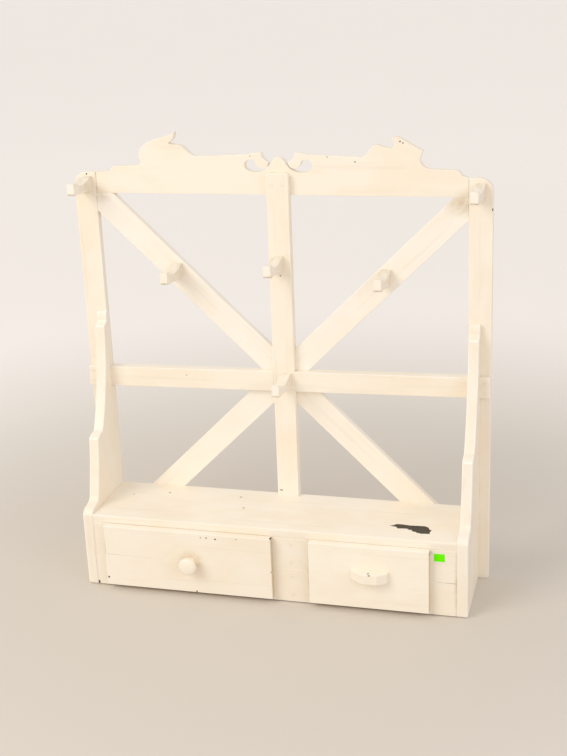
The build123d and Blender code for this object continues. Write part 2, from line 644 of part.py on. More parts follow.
def bar_pull():
    """A whittled wooden bar with slanting ends, longer on the left."""
    x, z = on_front(RIGHT_FRONT_X, PULL_OFFSET)
    left = x - PULL_LENGTH / 2
    plan = polygon(*[(left + u * PULL_LENGTH, v * PULL_DEPTH) for u, v in PULL_PLAN])
    plane = Plane(origin=(0, FRONT_FACE, z - PULL_HEIGHT / 2), x_dir=(1, 0, 0), z_dir=(0, 0, -1))
    bar = eased(extrude(plane * plan, -PULL_HEIGHT))
    for place in pull_screw_places():
        bar -= screw(place, HOLE_CLEARANCE)
    return bar


# ------------------------------------------------------------------ assembly
def bored(solid, cutters):
    """The solid less every cutter that reaches it."""
    for cutter in cutters:
        if solid.bounding_box().overlaps(cutter.bounding_box()):
            solid -= cutter
    return solid


def save(name, pieces):
    """Write one node, with the rack centred front to back."""
    if not isinstance(pieces, list):
        pieces = [pieces]
    solids = [Pos(0, CENTRING, 0) * solid for piece in pieces for solid in piece.solids()]
    node = solids[0] if len(solids) == 1 else Compound(children=solids)
    node.label = name
    export_step(node, f"parts/{name}.step")


def save_frame():
    """The peg frame, bored for its pegs, dowels and nails."""
    holes = peg_holes() + dowels(HOLE_CLEARANCE) + frame_nails(HOLE_CLEARANCE)
    boards = {
        "left_post": post(-1),
        "right_post": post(1),
        "scroll_crest": crest(),
        "centre_stile": centre_stile(),
        "mid_rail": mid_rail(),
        "brace_upper_left": brace(-1, 1),
        "brace_upper_right": brace(1, 1),
        "brace_lower_left": brace(-1, -1),
        "brace_lower_right": brace(1, -1),
        "back_board": back_board(),
    }
    for name, board in boards.items():
        save(name, bored(board, holes))
    for name, place in peg_places().items():
        save(name, peg(place))
    save("crest_dowels", dowels())
    save("frame_nails", frame_nails())


def save_case():
    """The shelf case, bored for its nails."""
    holes = case_nails(HOLE_CLEARANCE)
    left_open = opening_x(LEFT_FRONT_X)
    right_open = opening_x(RIGHT_FRONT_X)
    boards = {
        "left_side_board": side_board(-1),
        "right_side_board": side_board(1),
        "shelf_board": shelf_board(),
        "fascia_lower_board": fascia_board(),
        "fascia_left_block": fascia_block((CASE_LEFT, left_open[0])),
        "fascia_centre_block": fascia_block((left_open[1], right_open[0])),
        "fascia_right_block": fascia_block((right_open[1], CASE_RIGHT)),
        "centre_divider": centre_divider(),
    }
    for name, board in boards.items():
        save(name, bored(board, holes))
    save("drawer_runners", runners())
    save("drawer_guides", guides())
    save("case_nails", case_nails())
    save("price_sticker", price_sticker())


def save_drawer(prefix, front_x, holes):
    """The five boards of one drawer."""
    save(f"{prefix}_front", drawer_front(front_x, holes))
    save(f"{prefix}_left_side", drawer_side(front_x, -1))
    save(f"{prefix}_right_side", drawer_side(front_x, 1))
    save(f"{prefix}_back", drawer_back(front_x))
    save(f"{prefix}_bottom", drawer_bottom(front_x))


save_frame()
save_case()
save_drawer("left_drawer", LEFT_FRONT_X, [knob_place()])
save("left_drawer_knob", knob())
save("left_knob_screw", screw(knob_place()))
save_drawer("right_drawer", RIGHT_FRONT_X, pull_screw_places())
save("right_drawer_pull", bar_pull())
save("right_pull_screws", [screw(place) for place in pull_screw_places()])
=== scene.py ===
"""Looks of an old painted hall rack: brushed cream paint, worn arrises, chips, nails and bare pine."""
import logging
import math
from dataclasses import dataclass, replace
from enum import Enum
from typing import Callable, Optional, Sequence

import bmesh
import bpy
from mathutils import Matrix, Vector, noise


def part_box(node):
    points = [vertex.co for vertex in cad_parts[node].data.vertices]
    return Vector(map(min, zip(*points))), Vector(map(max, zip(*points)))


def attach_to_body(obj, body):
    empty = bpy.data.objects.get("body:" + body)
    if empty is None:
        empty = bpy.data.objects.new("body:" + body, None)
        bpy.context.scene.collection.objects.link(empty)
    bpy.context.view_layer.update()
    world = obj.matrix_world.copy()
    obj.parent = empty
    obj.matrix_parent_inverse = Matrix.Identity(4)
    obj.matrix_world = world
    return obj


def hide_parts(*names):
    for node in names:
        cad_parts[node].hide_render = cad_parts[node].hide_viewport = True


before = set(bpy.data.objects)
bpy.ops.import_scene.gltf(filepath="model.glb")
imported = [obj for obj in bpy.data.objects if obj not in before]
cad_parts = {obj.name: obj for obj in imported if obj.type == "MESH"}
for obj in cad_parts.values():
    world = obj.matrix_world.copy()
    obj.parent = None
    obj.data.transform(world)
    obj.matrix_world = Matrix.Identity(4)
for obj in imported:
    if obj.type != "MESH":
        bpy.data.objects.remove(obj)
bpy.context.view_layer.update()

MM = 0.001
FRAME_FACE = 90.5           # y of the front of the frame boards, mm
LOG = logging.getLogger("hall_rack")
BRACE_SLOPE = 44.3          # degrees that the diagonals stand from level
Spot = tuple[float, float]
Place = tuple[float, float, float]


# ------------------------------------------------------------------ colour and nodes
def linear(code: str) -> tuple[float, float, float, float]:
    """Turn an sRGB hex colour into the linear colour that shaders use.

    Args:
        code: Six hex digits after a hash.

    Returns:
        Red, green, blue and an alpha of 1.
    """
    parts = [int(code[i:i + 2], 16) / 255 for i in (1, 3, 5)]
    red, green, blue = (c / 12.92 if c <= 0.04045 else ((c + 0.055) / 1.055) ** 2.4 for c in parts)
    return red, green, blue, 1.0


def add_node(tree: bpy.types.NodeTree, kind: str, inputs: Optional[dict] = None,
             **settings: object) -> bpy.types.Node:
    """Add a node with its settings, and fill its sockets with links or values.

    Args:
        tree: The node tree that gets the node.
        kind: The node's type name.
        inputs: Socket name or index to an output socket or a value.
        **settings: Properties of the node.

    Returns:
        The new node.
    """
    made = tree.nodes.new(kind)
    for key, value in settings.items():
        setattr(made, key, value)
    for key, value in (inputs or {}).items():
        if isinstance(value, bpy.types.NodeSocket):
            tree.links.new(value, made.inputs[key])
        else:
            made.inputs[key].default_value = value
    return made


class Grain(Enum):
    """The way that grain and brush run, as the turn that lays the pattern's X along it."""

    LEVEL = (0.0, 0.0, 0.0)
    UPRIGHT = (0.0, -90.0, 0.0)
    DEPTH = (0.0, 0.0, 90.0)
    RISING = (0.0, -BRACE_SLOPE, 0.0)
    FALLING = (0.0, BRACE_SLOPE, 0.0)

    @property
    def turn(self) -> Place:
        """The turn in radians."""
        return tuple(math.radians(a) for a in self.value)


# ------------------------------------------------------------------ finishes
@dataclass(frozen=True)
class Pattern:
    """Writes the patterns of one material, all on Object coordinates."""

    tree: bpy.types.NodeTree
    grain: Grain

    def laid(self, along: float, across: float) -> bpy.types.NodeSocket:
        """Coordinates in units of a feature's size, laid along the grain.

        Args:
            along: Size of a feature along the grain, mm.
            across: Its size across the grain, mm.

        Returns:
            The vector socket.
        """
        place = add_node(self.tree, "ShaderNodeTexCoord").outputs["Object"]
        return add_node(self.tree, "ShaderNodeMapping", {
            "Vector": place, "Rotation": self.grain.turn,
            "Scale": (along * MM, across * MM, across * MM)}, vector_type="TEXTURE").outputs[0]

    def cloud(self, along: float, across: float, detail: float = 2.0,
              rough: float = 0.5) -> bpy.types.NodeSocket:
        """Noise with the given feature size in mm, from 0 to 1."""
        return add_node(self.tree, "ShaderNodeTexNoise", {
            "Vector": self.laid(along, across), "Scale": 1.0, "Detail": detail,
            "Roughness": rough}).outputs[0]

    def span(self, value: bpy.types.NodeSocket, low: float, high: float,
             to_low: float = 0.0, to_high: float = 1.0) -> bpy.types.NodeSocket:
        """Map a range of a value onto another, smoothly and clamped."""
        return add_node(self.tree, "ShaderNodeMapRange", {
            0: value, 1: low, 2: high, 3: to_low, 4: to_high}, interpolation_type="SMOOTHSTEP").outputs[0]

    def mix(self, factor: object, first: object, second: object) -> bpy.types.NodeSocket:
        """Mix two colours."""
        return add_node(self.tree, "ShaderNodeMix", {0: factor, 6: first, 7: second},
                        data_type="RGBA").outputs[2]

    def away(self, centre: Place, reach: Place) -> bpy.types.NodeSocket:
        """Distance from a place.

        Args:
            centre: The place, mm.
            reach: How far each axis counts as 1, mm.

        Returns:
            The distance as a share of the reach.
        """
        place = add_node(self.tree, "ShaderNodeTexCoord").outputs["Object"]
        near = add_node(self.tree, "ShaderNodeMapping", {
            "Vector": place, "Location": [c * MM for c in centre], "Scale": [r * MM for r in reach]},
            vector_type="TEXTURE").outputs[0]
        return add_node(self.tree, "ShaderNodeVectorMath", {0: near}, operation="LENGTH").outputs["Value"]

    def sum(self, first: object, second: object, operation: str = "ADD") -> bpy.types.NodeSocket:
        """Combine two values, by adding unless told otherwise."""
        return add_node(self.tree, "ShaderNodeMath", {0: first, 1: second}, operation=operation).outputs[0]

    def bump(self, height: bpy.types.NodeSocket, rise: float) -> bpy.types.NodeSocket:
        """A bump whose full height is the given rise in mm."""
        return add_node(self.tree, "ShaderNodeBump", {
            "Strength": 1.0, "Distance": rise * MM, "Height": height}).outputs[0]


def new_material(name: str) -> tuple[bpy.types.Material, bpy.types.NodeTree]:
    """Start a material with no nodes.

    Args:
        name: The finish's name.

    Returns:
        The material and its node tree.
    """
    material = bpy.data.materials.new(name)
    material.use_nodes = True
    tree = material.node_tree
    tree.nodes.clear()
    return material, tree


def close_with(tree: bpy.types.NodeTree, inputs: dict) -> None:
    """End a material in a Principled surface with the given inputs."""
    shader = add_node(tree, "ShaderNodeBsdfPrincipled", inputs)
    add_node(tree, "ShaderNodeOutputMaterial", {"Surface": shader.outputs[0]})


@dataclass(frozen=True)
class ShadeAndGrime:
    """Darkening round one place, which fades outward: painted shade in corners, under lips and beside proud
    parts, with grime as well in some places.
    """

    centre: Place
    reach: Place
    strength: float


@dataclass(frozen=True)
class BrushedPaint:
    """Old oil gloss paint, brushed on pine: soft brush ridges, yellowed drifts, the grain just showing."""

    name: str
    grain: Grain
    body: str = "#FBF2E2"
    aged: str = "#F8EBD5"
    # darker colour for grain lines, brush ridges and rubbing, and for the painted shade of the darkenings
    grime_and_shade: str = "#D8C6A8"
    wood: str = "#7B5A38"
    bristle: float = 3.2        # ridge spacing, mm; drawn four times as coarse as real so that it shows
    stroke: float = 70.0
    figure: float = 11.0        # spacing of the pine's grain lines
    film: float = 0.25          # height of the ridges, mm, coarse as their spacing
    wear: float = 0.0           # share rubbed through, on arrises and ends
    shade_and_grime: tuple[ShadeAndGrime, ...] = ()

    def material(self) -> bpy.types.Material:
        """Build the paint.

        Returns:
            The finished material.
        """
        material, tree = new_material(self.name)
        p = Pattern(tree, self.grain)
        ridges = p.cloud(self.stroke, self.bristle, 3.0, 0.55)
        figure = p.cloud(240.0, self.figure, 2.0, 0.6)
        drift = p.cloud(110.0, 60.0, 3.0, 0.55)
        colour = p.mix(p.span(drift, 0.38, 0.68, 0.0, 0.75), linear(self.body), linear(self.aged))
        colour = p.mix(p.span(figure, 0.56, 0.72, 0.0, 0.12), colour, linear(self.grime_and_shade))
        colour = p.mix(p.span(ridges, 0.60, 0.78, 0.0, 0.10), colour, linear(self.grime_and_shade))
        # Each darkening mixes the paint toward its darker colour: painted shade in corners, beside the drawer
        # fronts, round the knob and under the peg tips, with grime as well at the crest corners and peg
        # roots.
        for darkening in self.shade_and_grime:
            cover = p.span(p.away(darkening.centre, darkening.reach), 0.1, 1.0, darkening.strength, 0.0)
            uneven = p.span(p.cloud(16.0, 9.0, 3.0, 0.6), 0.32, 0.62, 0.45, 1.0)
            colour = p.mix(p.sum(cover, uneven, "MULTIPLY"), colour, linear(self.grime_and_shade))
        if self.wear:
            rubbed = p.cloud(9.0, 4.0, 3.0, 0.6)
            through = 0.76      # where the rubbing has gone down to the wood
            rub = p.span(rubbed, through - 0.52 * self.wear, through, 0.0, self.wear)
            colour = p.mix(rub, colour, linear(self.grime_and_shade))
            colour = p.mix(p.span(rubbed, through, through + 0.03), colour, linear(self.wood))
        relief = p.sum(p.sum(ridges, 0.6, "MULTIPLY"), p.sum(figure, 0.3, "MULTIPLY"))
        close_with(tree, {
            "Base Color": colour, "Roughness": p.span(drift, 0.3, 0.7, 0.40, 0.54), "IOR": 1.48,
            "Normal": p.bump(relief, self.film)})
        return material


def painted(paint: BrushedPaint) -> bpy.types.Material:
    """A paint's material, mixed once."""
    return bpy.data.materials.get(paint.name) or paint.material()


@dataclass(frozen=True)
class BarePine:
    """Sawn pine left bare: honey early wood with the flame figure of late wood, dusty with age."""

    name: str
    grain: Grain
    early: str = "#D9B98A"
    late: str = "#B58850"
    dust: str = "#8C7458"
    rings: float = 10.0         # growth rings that the figure crosses

    def material(self) -> bpy.types.Material:
        """Build the pine.

        Returns:
            The finished material.
        """
        material, tree = new_material(self.name)
        p = Pattern(tree, self.grain)
        depth = p.cloud(420.0, 58.0, 1.5, 0.4)
        rings = p.sum(p.sum(depth, self.rings, "MULTIPLY"), 0.0, "FRACT")
        fibres = p.cloud(40.0, 0.9, 3.0, 0.6)
        stain = p.cloud(90.0, 45.0, 3.0, 0.55)
        colour = p.mix(p.span(rings, 0.35, 1.0, 0.0, 0.7), linear(self.early), linear(self.late))
        colour = p.mix(p.span(fibres, 0.45, 0.75, 0.0, 0.30), colour, linear(self.dust))
        colour = p.mix(p.span(stain, 0.50, 0.75, 0.0, 0.45), colour, linear(self.dust))
        relief = p.sum(p.sum(rings, 0.12, "MULTIPLY"), p.sum(fibres, 0.7, "MULTIPLY"))
        close_with(tree, {
            "Base Color": colour, "Roughness": p.span(fibres, 0.3, 0.7, 0.66, 0.80), "IOR": 1.45,
            "Normal": p.bump(relief, 0.25)})
        return material


@dataclass(frozen=True)
class ChippedGround:
    """What shows where a flake of paint has come away: matt old stain, or a rubbed primer, with fibres."""

    name: str
    dark: str = "#453D31"
    brown: str = "#66563F"

    def material(self) -> bpy.types.Material:
        """Build the ground.

        Returns:
            The finished material.
        """
        material, tree = new_material(self.name)
        p = Pattern(tree, Grain.LEVEL)
        fibres = p.cloud(14.0, 1.6, 3.0, 0.6)
        colour = p.mix(p.span(fibres, 0.5, 0.8, 0.0, 0.7), linear(self.dark), linear(self.brown))
        close_with(tree, {
            "Base Color": colour, "Roughness": p.span(fibres, 0.3, 0.7, 0.55, 0.8),
            "Normal": p.bump(fibres, 0.3)})
        return material


@dataclass(frozen=True)
class PaintedNail:
    """Wire nail heads under the paint, with a thread of rust where the head meets the wood."""

    name: str
    paint: str = "#F9EEDA"
    rust: str = "#A98A66"

    def material(self) -> bpy.types.Material:
        """Build the painted steel, which reads how far out on the head a point lies.

        Returns:
            The finished material.
        """
        material, tree = new_material(self.name)
        p = Pattern(tree, Grain.LEVEL)
        rim = add_node(tree, "ShaderNodeAttribute", attribute_name="rim").outputs["Fac"]
        spots = p.cloud(3.0, 3.0, 3.0, 0.6)
        edge = p.sum(rim, p.sum(spots, 0.35, "MULTIPLY"))
        colour = p.mix(p.span(edge, 1.05, 1.28, 0.0, 0.14), linear(self.paint), linear(self.rust))
        close_with(tree, {
            "Base Color": colour, "Roughness": p.span(spots, 0.3, 0.7, 0.42, 0.6),
            "Normal": p.bump(spots, 0.12)})
        return material


@dataclass(frozen=True)
class DullSteel:
    """Zinc-plated screw steel gone dull: grey, faintly mottled, with a soft shine."""

    name: str
    bright: str = "#A3A19B"
    dull: str = "#6E6A62"

    def material(self) -> bpy.types.Material:
        """Build the steel.

        Returns:
            The finished material.
        """
        material, tree = new_material(self.name)
        p = Pattern(tree, Grain.LEVEL)
        mottle = p.cloud(2.2, 2.2, 3.0, 0.6)
        colour = p.mix(p.span(mottle, 0.4, 0.7), linear(self.bright), linear(self.dull))
        close_with(tree, {
            "Base Color": colour, "Metallic": 1.0, "Roughness": p.span(mottle, 0.3, 0.7, 0.35, 0.6),
            "Normal": p.bump(mottle, 0.05)})
        return material


@dataclass(frozen=True)
class PaperLabel:
    """Coated bright green paper: even colour, faint fibres and a slightly rubbed face."""

    name: str
    green: str = "#70FF00"
    rubbed: str = "#7CFF18"

    def material(self) -> bpy.types.Material:
        """Build the paper.

        Returns:
            The finished material.
        """
        material, tree = new_material(self.name)
        p = Pattern(tree, Grain.LEVEL)
        fibres = p.cloud(2.5, 0.8, 3.0, 0.6)
        colour = p.mix(p.span(fibres, 0.55, 0.8, 0.0, 0.5), linear(self.green), linear(self.rubbed))
        close_with(tree, {
            "Base Color": colour, "Roughness": p.span(fibres, 0.3, 0.7, 0.6, 0.75),
            "Specular IOR Level": 0.08, "Normal": p.bump(fibres, 0.05)})
        return material


# ------------------------------------------------------------------ chips and cuts
class Under(Enum):
    """What a chip goes down to, as the board's material index."""

    STAIN = 2
    PRIMER = 4


class Face(Enum):
    """The face of a board that a chip is on."""

    FRONT = "front"
    TOP = "top"
    RIGHT = "right"


@dataclass(frozen=True)
class Chip:
    """A lost flake of paint, as a shallow ragged hollow.

    across and up are in mm: x and z on a front face, x and y on a top face, y and z on a side.
    """

    across: float
    up: float
    wide: float = 3.0
    high: float = 2.0
    deep: float = 0.7
    face: Face = Face.FRONT
    under: Under = Under.STAIN

    def centre(self, low: Vector, high: Vector) -> Vector:
        """The chip's middle.

        Args:
            low: Lower corner of the board's box, metres.
            high: Its upper corner.

        Returns:
            A point on the chip's face of the board, metres.
        """
        if self.face is Face.TOP:
            return Vector((self.across * MM, self.up * MM, high.z))
        if self.face is Face.RIGHT:
            return Vector((high.x, self.across * MM, self.up * MM))
        return Vector((self.across * MM, low.y, self.up * MM))

    def cutter(self, low: Vector, high: Vector) -> bmesh.types.BMesh:
        """A small lumpy ball, flattened into the face.

        Args:
            low: Lower corner of the board's box, metres.
            high: Its upper corner.

        Returns:
            The closed shape to cut away.
        """
        ball = bmesh.new()
        bmesh.ops.create_icosphere(ball, subdivisions=2, radius=1.0)
        reach = Vector((self.wide / 2, self.deep, self.high / 2))
        if self.face is Face.TOP:
            reach = Vector((self.wide / 2, self.high / 2, self.deep))
        if self.face is Face.RIGHT:
            reach = Vector((self.deep, self.wide / 2, self.high / 2))
        middle = self.centre(low, high)
        for vert in ball.verts:
            # each chip reads the noise far from the others, so no two have one outline
            lump = 1.0 + 0.45 * noise.noise(vert.co * 1.7 + middle * 900.0)
            vert.co = middle + Vector((a * b for a, b in zip(vert.co, reach))) * lump * MM
        return ball


@dataclass(frozen=True)
class FlakedPatch:
    """A larger patch where the paint has flaked off a level top, down to the dark stain."""

    corners: tuple[Spot, ...]
    deep: float = 0.45
    ragged: float = 0.7
    step: float = 1.8
    seed: int = 1
    under: Under = Under.STAIN

    def cutter(self, low: Vector, high: Vector) -> bmesh.types.BMesh:
        """A ragged prism that reaches just under the top face.

        Args:
            low: Lower corner of the board's box, metres; not used.
            high: Its upper corner.

        Returns:
            The closed shape to cut away.
        """
        # the noise vector's offsets come from the clock unless they are seeded
        noise.seed_set(self.seed)
        rim: list[Vector] = []
        for (x0, y0), (x1, y1) in zip(self.corners, self.corners[1:] + self.corners[:1]):
            start, end = Vector((x0, y0, 0.0)), Vector((x1, y1, 0.0))
            count = max(1, round((end - start).length / self.step))
            for k in range(count):
                spot = start.lerp(end, k / count)
                rim.append(spot + noise.noise_vector(spot * 0.8) * self.ragged)
        prism = bmesh.new()
        floor = [prism.verts.new((v.x * MM, v.y * MM, high.z - self.deep * MM)) for v in rim]
        face = prism.faces.new(floor)
        top = bmesh.ops.extrude_face_region(prism, geom=[face])["geom"]
        bmesh.ops.translate(prism, verts=[g for g in top if isinstance(g, bmesh.types.BMVert)],
                            vec=(0.0, 0.0, 2.0 * MM))
        bmesh.ops.recalc_face_normals(prism, faces=prism.faces)
        return prism


@dataclass(frozen=True)
class Check:
    """A hairline crack on a front, widest at its start: a drying crack, or the paint parted at a joint."""

    start: Spot
    end: Spot
    wide: float = 0.6
    deep: float = 0.9
    under: Under = Under.PRIMER

    def cutter(self, low: Vector, high: Vector) -> bmesh.types.BMesh:
        """A long wedge let into the front face.

        Args:
            low: Lower corner of the board's box, metres.
            high: Its upper corner; not used.

        Returns:
            The closed shape to cut away.
        """
        wedge = bmesh.new()
        start, end = (Vector((x * MM, 0.0, z * MM)) for x, z in (self.start, self.end))
        side = (end - start).normalized().cross(Vector((0.0, 1.0, 0.0))) * self.wide / 2 * MM
        over, inner, tip = (Vector((0.0, low.y + y * MM, 0.0)) for y in (-1.0, self.deep, 0.1))
        points = [wedge.verts.new(p) for p in (
            start - side + over, start + side + over, start + inner,
            end - side * 0.3 + over, end + side * 0.3 + over, end + tip)]
        for corners in ((0, 1, 2), (3, 5, 4), (0, 3, 4, 1), (1, 4, 5, 2), (2, 5, 3, 0)):
            wedge.faces.new([points[i] for i in corners])
        bmesh.ops.recalc_face_normals(wedge, faces=wedge.faces)
        return wedge


Cut = Chip | FlakedPatch | Check


# ------------------------------------------------------------------ shared mesh work
def add_object(name: str, mesh: bpy.types.Mesh) -> bpy.types.Object:
    """Link a mesh into the scene as an object at the origin.

    Args:
        name: The object's name.
        mesh: Its mesh, with its place in it.

    Returns:
        The object.
    """
    made = bpy.data.objects.new(name, mesh)
    bpy.context.scene.collection.objects.link(made)
    return made


def settle(piece: bpy.types.Object) -> None:
    """Apply a piece's modifiers by taking its evaluated mesh.

    Args:
        piece: The piece, which keeps no modifier.
    """
    graph = bpy.context.evaluated_depsgraph_get()
    mesh = bpy.data.meshes.new_from_object(piece.evaluated_get(graph), depsgraph=graph)
    piece.modifiers.clear()
    piece.data = mesh


def smooth(piece: bpy.types.Object, sharp: float = 50.0) -> None:
    """Shade a piece smooth between its sharp edges, with flat faces kept flat.

    Args:
        piece: The piece.
        sharp: The least turn at an edge that stays crisp, in degrees.
    """
    piece.data.shade_smooth()
    piece.data.set_sharp_from_angle(angle=math.radians(sharp))
    weighted = piece.modifiers.new("flat_faces", "WEIGHTED_NORMAL")
    weighted.keep_sharp = True
    settle(piece)


def volume(piece: bpy.types.Object) -> float:
    """What a closed piece holds.

    Args:
        piece: The piece.

    Returns:
        Its volume in cubic metres.
    """
    shape = bmesh.new()
    shape.from_mesh(piece.data)
    held = shape.calc_volume()
    shape.free()
    return held


def attach(piece: bpy.types.Object, body: str, slot: str, *nodes: str) -> None:
    """Ride a piece on its body in place of CAD nodes, and report it.

    Args:
        piece: The finished piece.
        body: The body that carries it.
        slot: The record's material slot; not used.
        *nodes: The CAD nodes that it stands for.
    """
    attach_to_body(piece, body)
    if nodes:
        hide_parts(*nodes)
    LOG.info("%s on %s: %d faces", piece.name, body, len(piece.data.polygons))


def bare_copy(node: str) -> bmesh.types.BMesh:
    """A node's shape with its doubles merged and its flat faces whole.

    Args:
        node: The CAD node, which stays as it is.

    Returns:
        The merged copy.
    """
    shape = bmesh.new()
    shape.from_mesh(bpy.data.objects[node].data)
    bmesh.ops.remove_doubles(shape, verts=shape.verts, dist=1e-6)
    bmesh.ops.dissolve_limit(shape, angle_limit=math.radians(0.4), verts=shape.verts, edges=shape.edges)
    return shape


def arrises(shape: bmesh.types.BMesh, least: float, hole: float = 16.0) -> list[bmesh.types.BMEdge]:
    """The outer edges of a board that hands and brushes have rounded.

    Args:
        shape: The board.
        least: The least turn at an edge, in degrees.
        hole: Closed rims smaller than this, in mm, are holes and stay crisp.

    Returns:
        The edges to round.
    """
    turn = math.radians(least)
    outer = {e for e in shape.edges if e.is_manifold and e.is_convex and e.calc_face_angle(0.0) > turn}
    kept, seen = [], set()
    for first in outer:
        if first in seen:
            continue
        seen.add(first)
        group, queue = [], [first]
        while queue:
            edge = queue.pop()
            group.append(edge)
            near = [e for v in edge.verts for e in v.link_edges if e in outer and e not in seen]
            seen.update(near)
            queue += near
        # a closed rim's own box tells a nail hole from the board's outline
        points = [v.co for e in group for v in e.verts]
        size = [max(p[i] for p in points) - min(p[i] for p in points) for i in range(3)]
        if max(size) > hole * MM:
            kept += group
    return kept


BARE_FACE = 3               # material index of unpainted faces
SHADED_END_FACE = 5             # material index of ends given a darker paint as painted shade
Rule = Callable[[bmesh.types.BMFace], bool]


@dataclass
class PaintedBoard:
    """A painted board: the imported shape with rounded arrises, chips and bare hidden faces."""

    node: str
    body: str
    slot: str
    paint: BrushedPaint
    grounds: tuple[bpy.types.Material, bpy.types.Material]
    bare: bpy.types.Material
    edge: float                 # rounding of the arrises, mm
    least: float = 40.0         # least turn at an arris that is rounded, degrees
    cuts: Sequence[Cut] = ()
    split: Optional[float] = None
    is_bare: Optional[Rule] = None
    # faces that take the darker end paint, a painted shade
    is_soiled: Optional[Rule] = None
    sharp: float = 50.0

    def make(self) -> bpy.types.Object:
        """Build the board and put it in its node's place.

        Returns:
            The finished piece.
        """
        low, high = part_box(self.node)
        shape = bare_copy(self.node)
        bmesh.ops.bevel(shape, geom=arrises(shape, self.least), offset=self.edge * MM, offset_type="OFFSET",
                        segments=3, profile=0.5, affect="EDGES", clamp_overlap=True, material=1)
        if self.split is not None:
            geometry = list(shape.verts) + list(shape.edges) + list(shape.faces)
            bmesh.ops.bisect_plane(shape, geom=geometry, plane_co=(0.0, 0.0, self.split),
                                   plane_no=(0.0, 0.0, 1.0))
        for rule, index in ((self.is_bare, BARE_FACE), (self.is_soiled, SHADED_END_FACE)):
            for face in shape.faces:
                if rule and face.material_index == 0 and rule(face):
                    face.material_index = index
        mesh = bpy.data.meshes.new(self.node + "_painted")
        shape.to_mesh(mesh)
        shape.free()
        for material in self.materials():
            mesh.materials.append(material)
        piece = add_object(self.node + "_painted", mesh)
        if self.cuts:
            self.chip(piece, Vector(low), Vector(high))
        smooth(piece, self.sharp)
        attach(piece, self.body, self.slot, self.node)
        return piece

    def materials(self) -> list[bpy.types.Material]:
        """The board's finishes by material index.

        Returns:
            Paint, arrises in paler paint as a painted highlight with some rubbing, the stain in chips, bare
            wood, the primer in chips, and ends in darker paint as painted shade.
        """
        name = self.paint.name
        # The arrises get a paler paint as a painted highlight, rubbed through in places; the ends get a
        # darker paint as painted shade, rubbed through in places.
        rubbed = replace(self.paint, name=name + "_rubbed", body="#FFFAF0", aged="#FCF3E4", wear=0.25)
        shaded_ends = replace(self.paint, name=name + "_soiled", body="#DACBAE", aged="#D0C0A0", wear=0.7)
        stain, primer = self.grounds
        return [painted(self.paint), painted(rubbed), stain, self.bare, primer, painted(shaded_ends)]

    def chip(self, piece: bpy.types.Object, low: Vector, high: Vector) -> None:
        """Cut the chips out of the board.

        Args:
            piece: The board.
            low: Lower corner of its box, metres.
            high: Its upper corner.

        Raises:
            RuntimeError: If the cut took nothing or too much.
        """
        joined = bmesh.new()
        for cut in self.cuts:
            cutter = cut.cutter(low, high)
            for face in cutter.faces:
                face.material_index = cut.under.value
            part = bpy.data.meshes.new("cutter_part")
            cutter.to_mesh(part)
            cutter.free()
            joined.from_mesh(part)
            bpy.data.meshes.remove(part)
        mesh = bpy.data.meshes.new("cutter")
        joined.to_mesh(mesh)
        joined.free()
        for material in piece.data.materials:
            mesh.materials.append(material)
        tool = add_object("cutter", mesh)
        flake = piece.modifiers.new("flakes", "BOOLEAN")
        flake.operation, flake.solver, flake.object = "DIFFERENCE", "MANIFOLD", tool
        whole = volume(piece)
        settle(piece)
        bpy.data.objects.remove(tool)
        least_left = 0.98
        if not least_left * whole < volume(piece) < whole:
            raise RuntimeError(f"the chips of {self.node} were not cut cleanly")


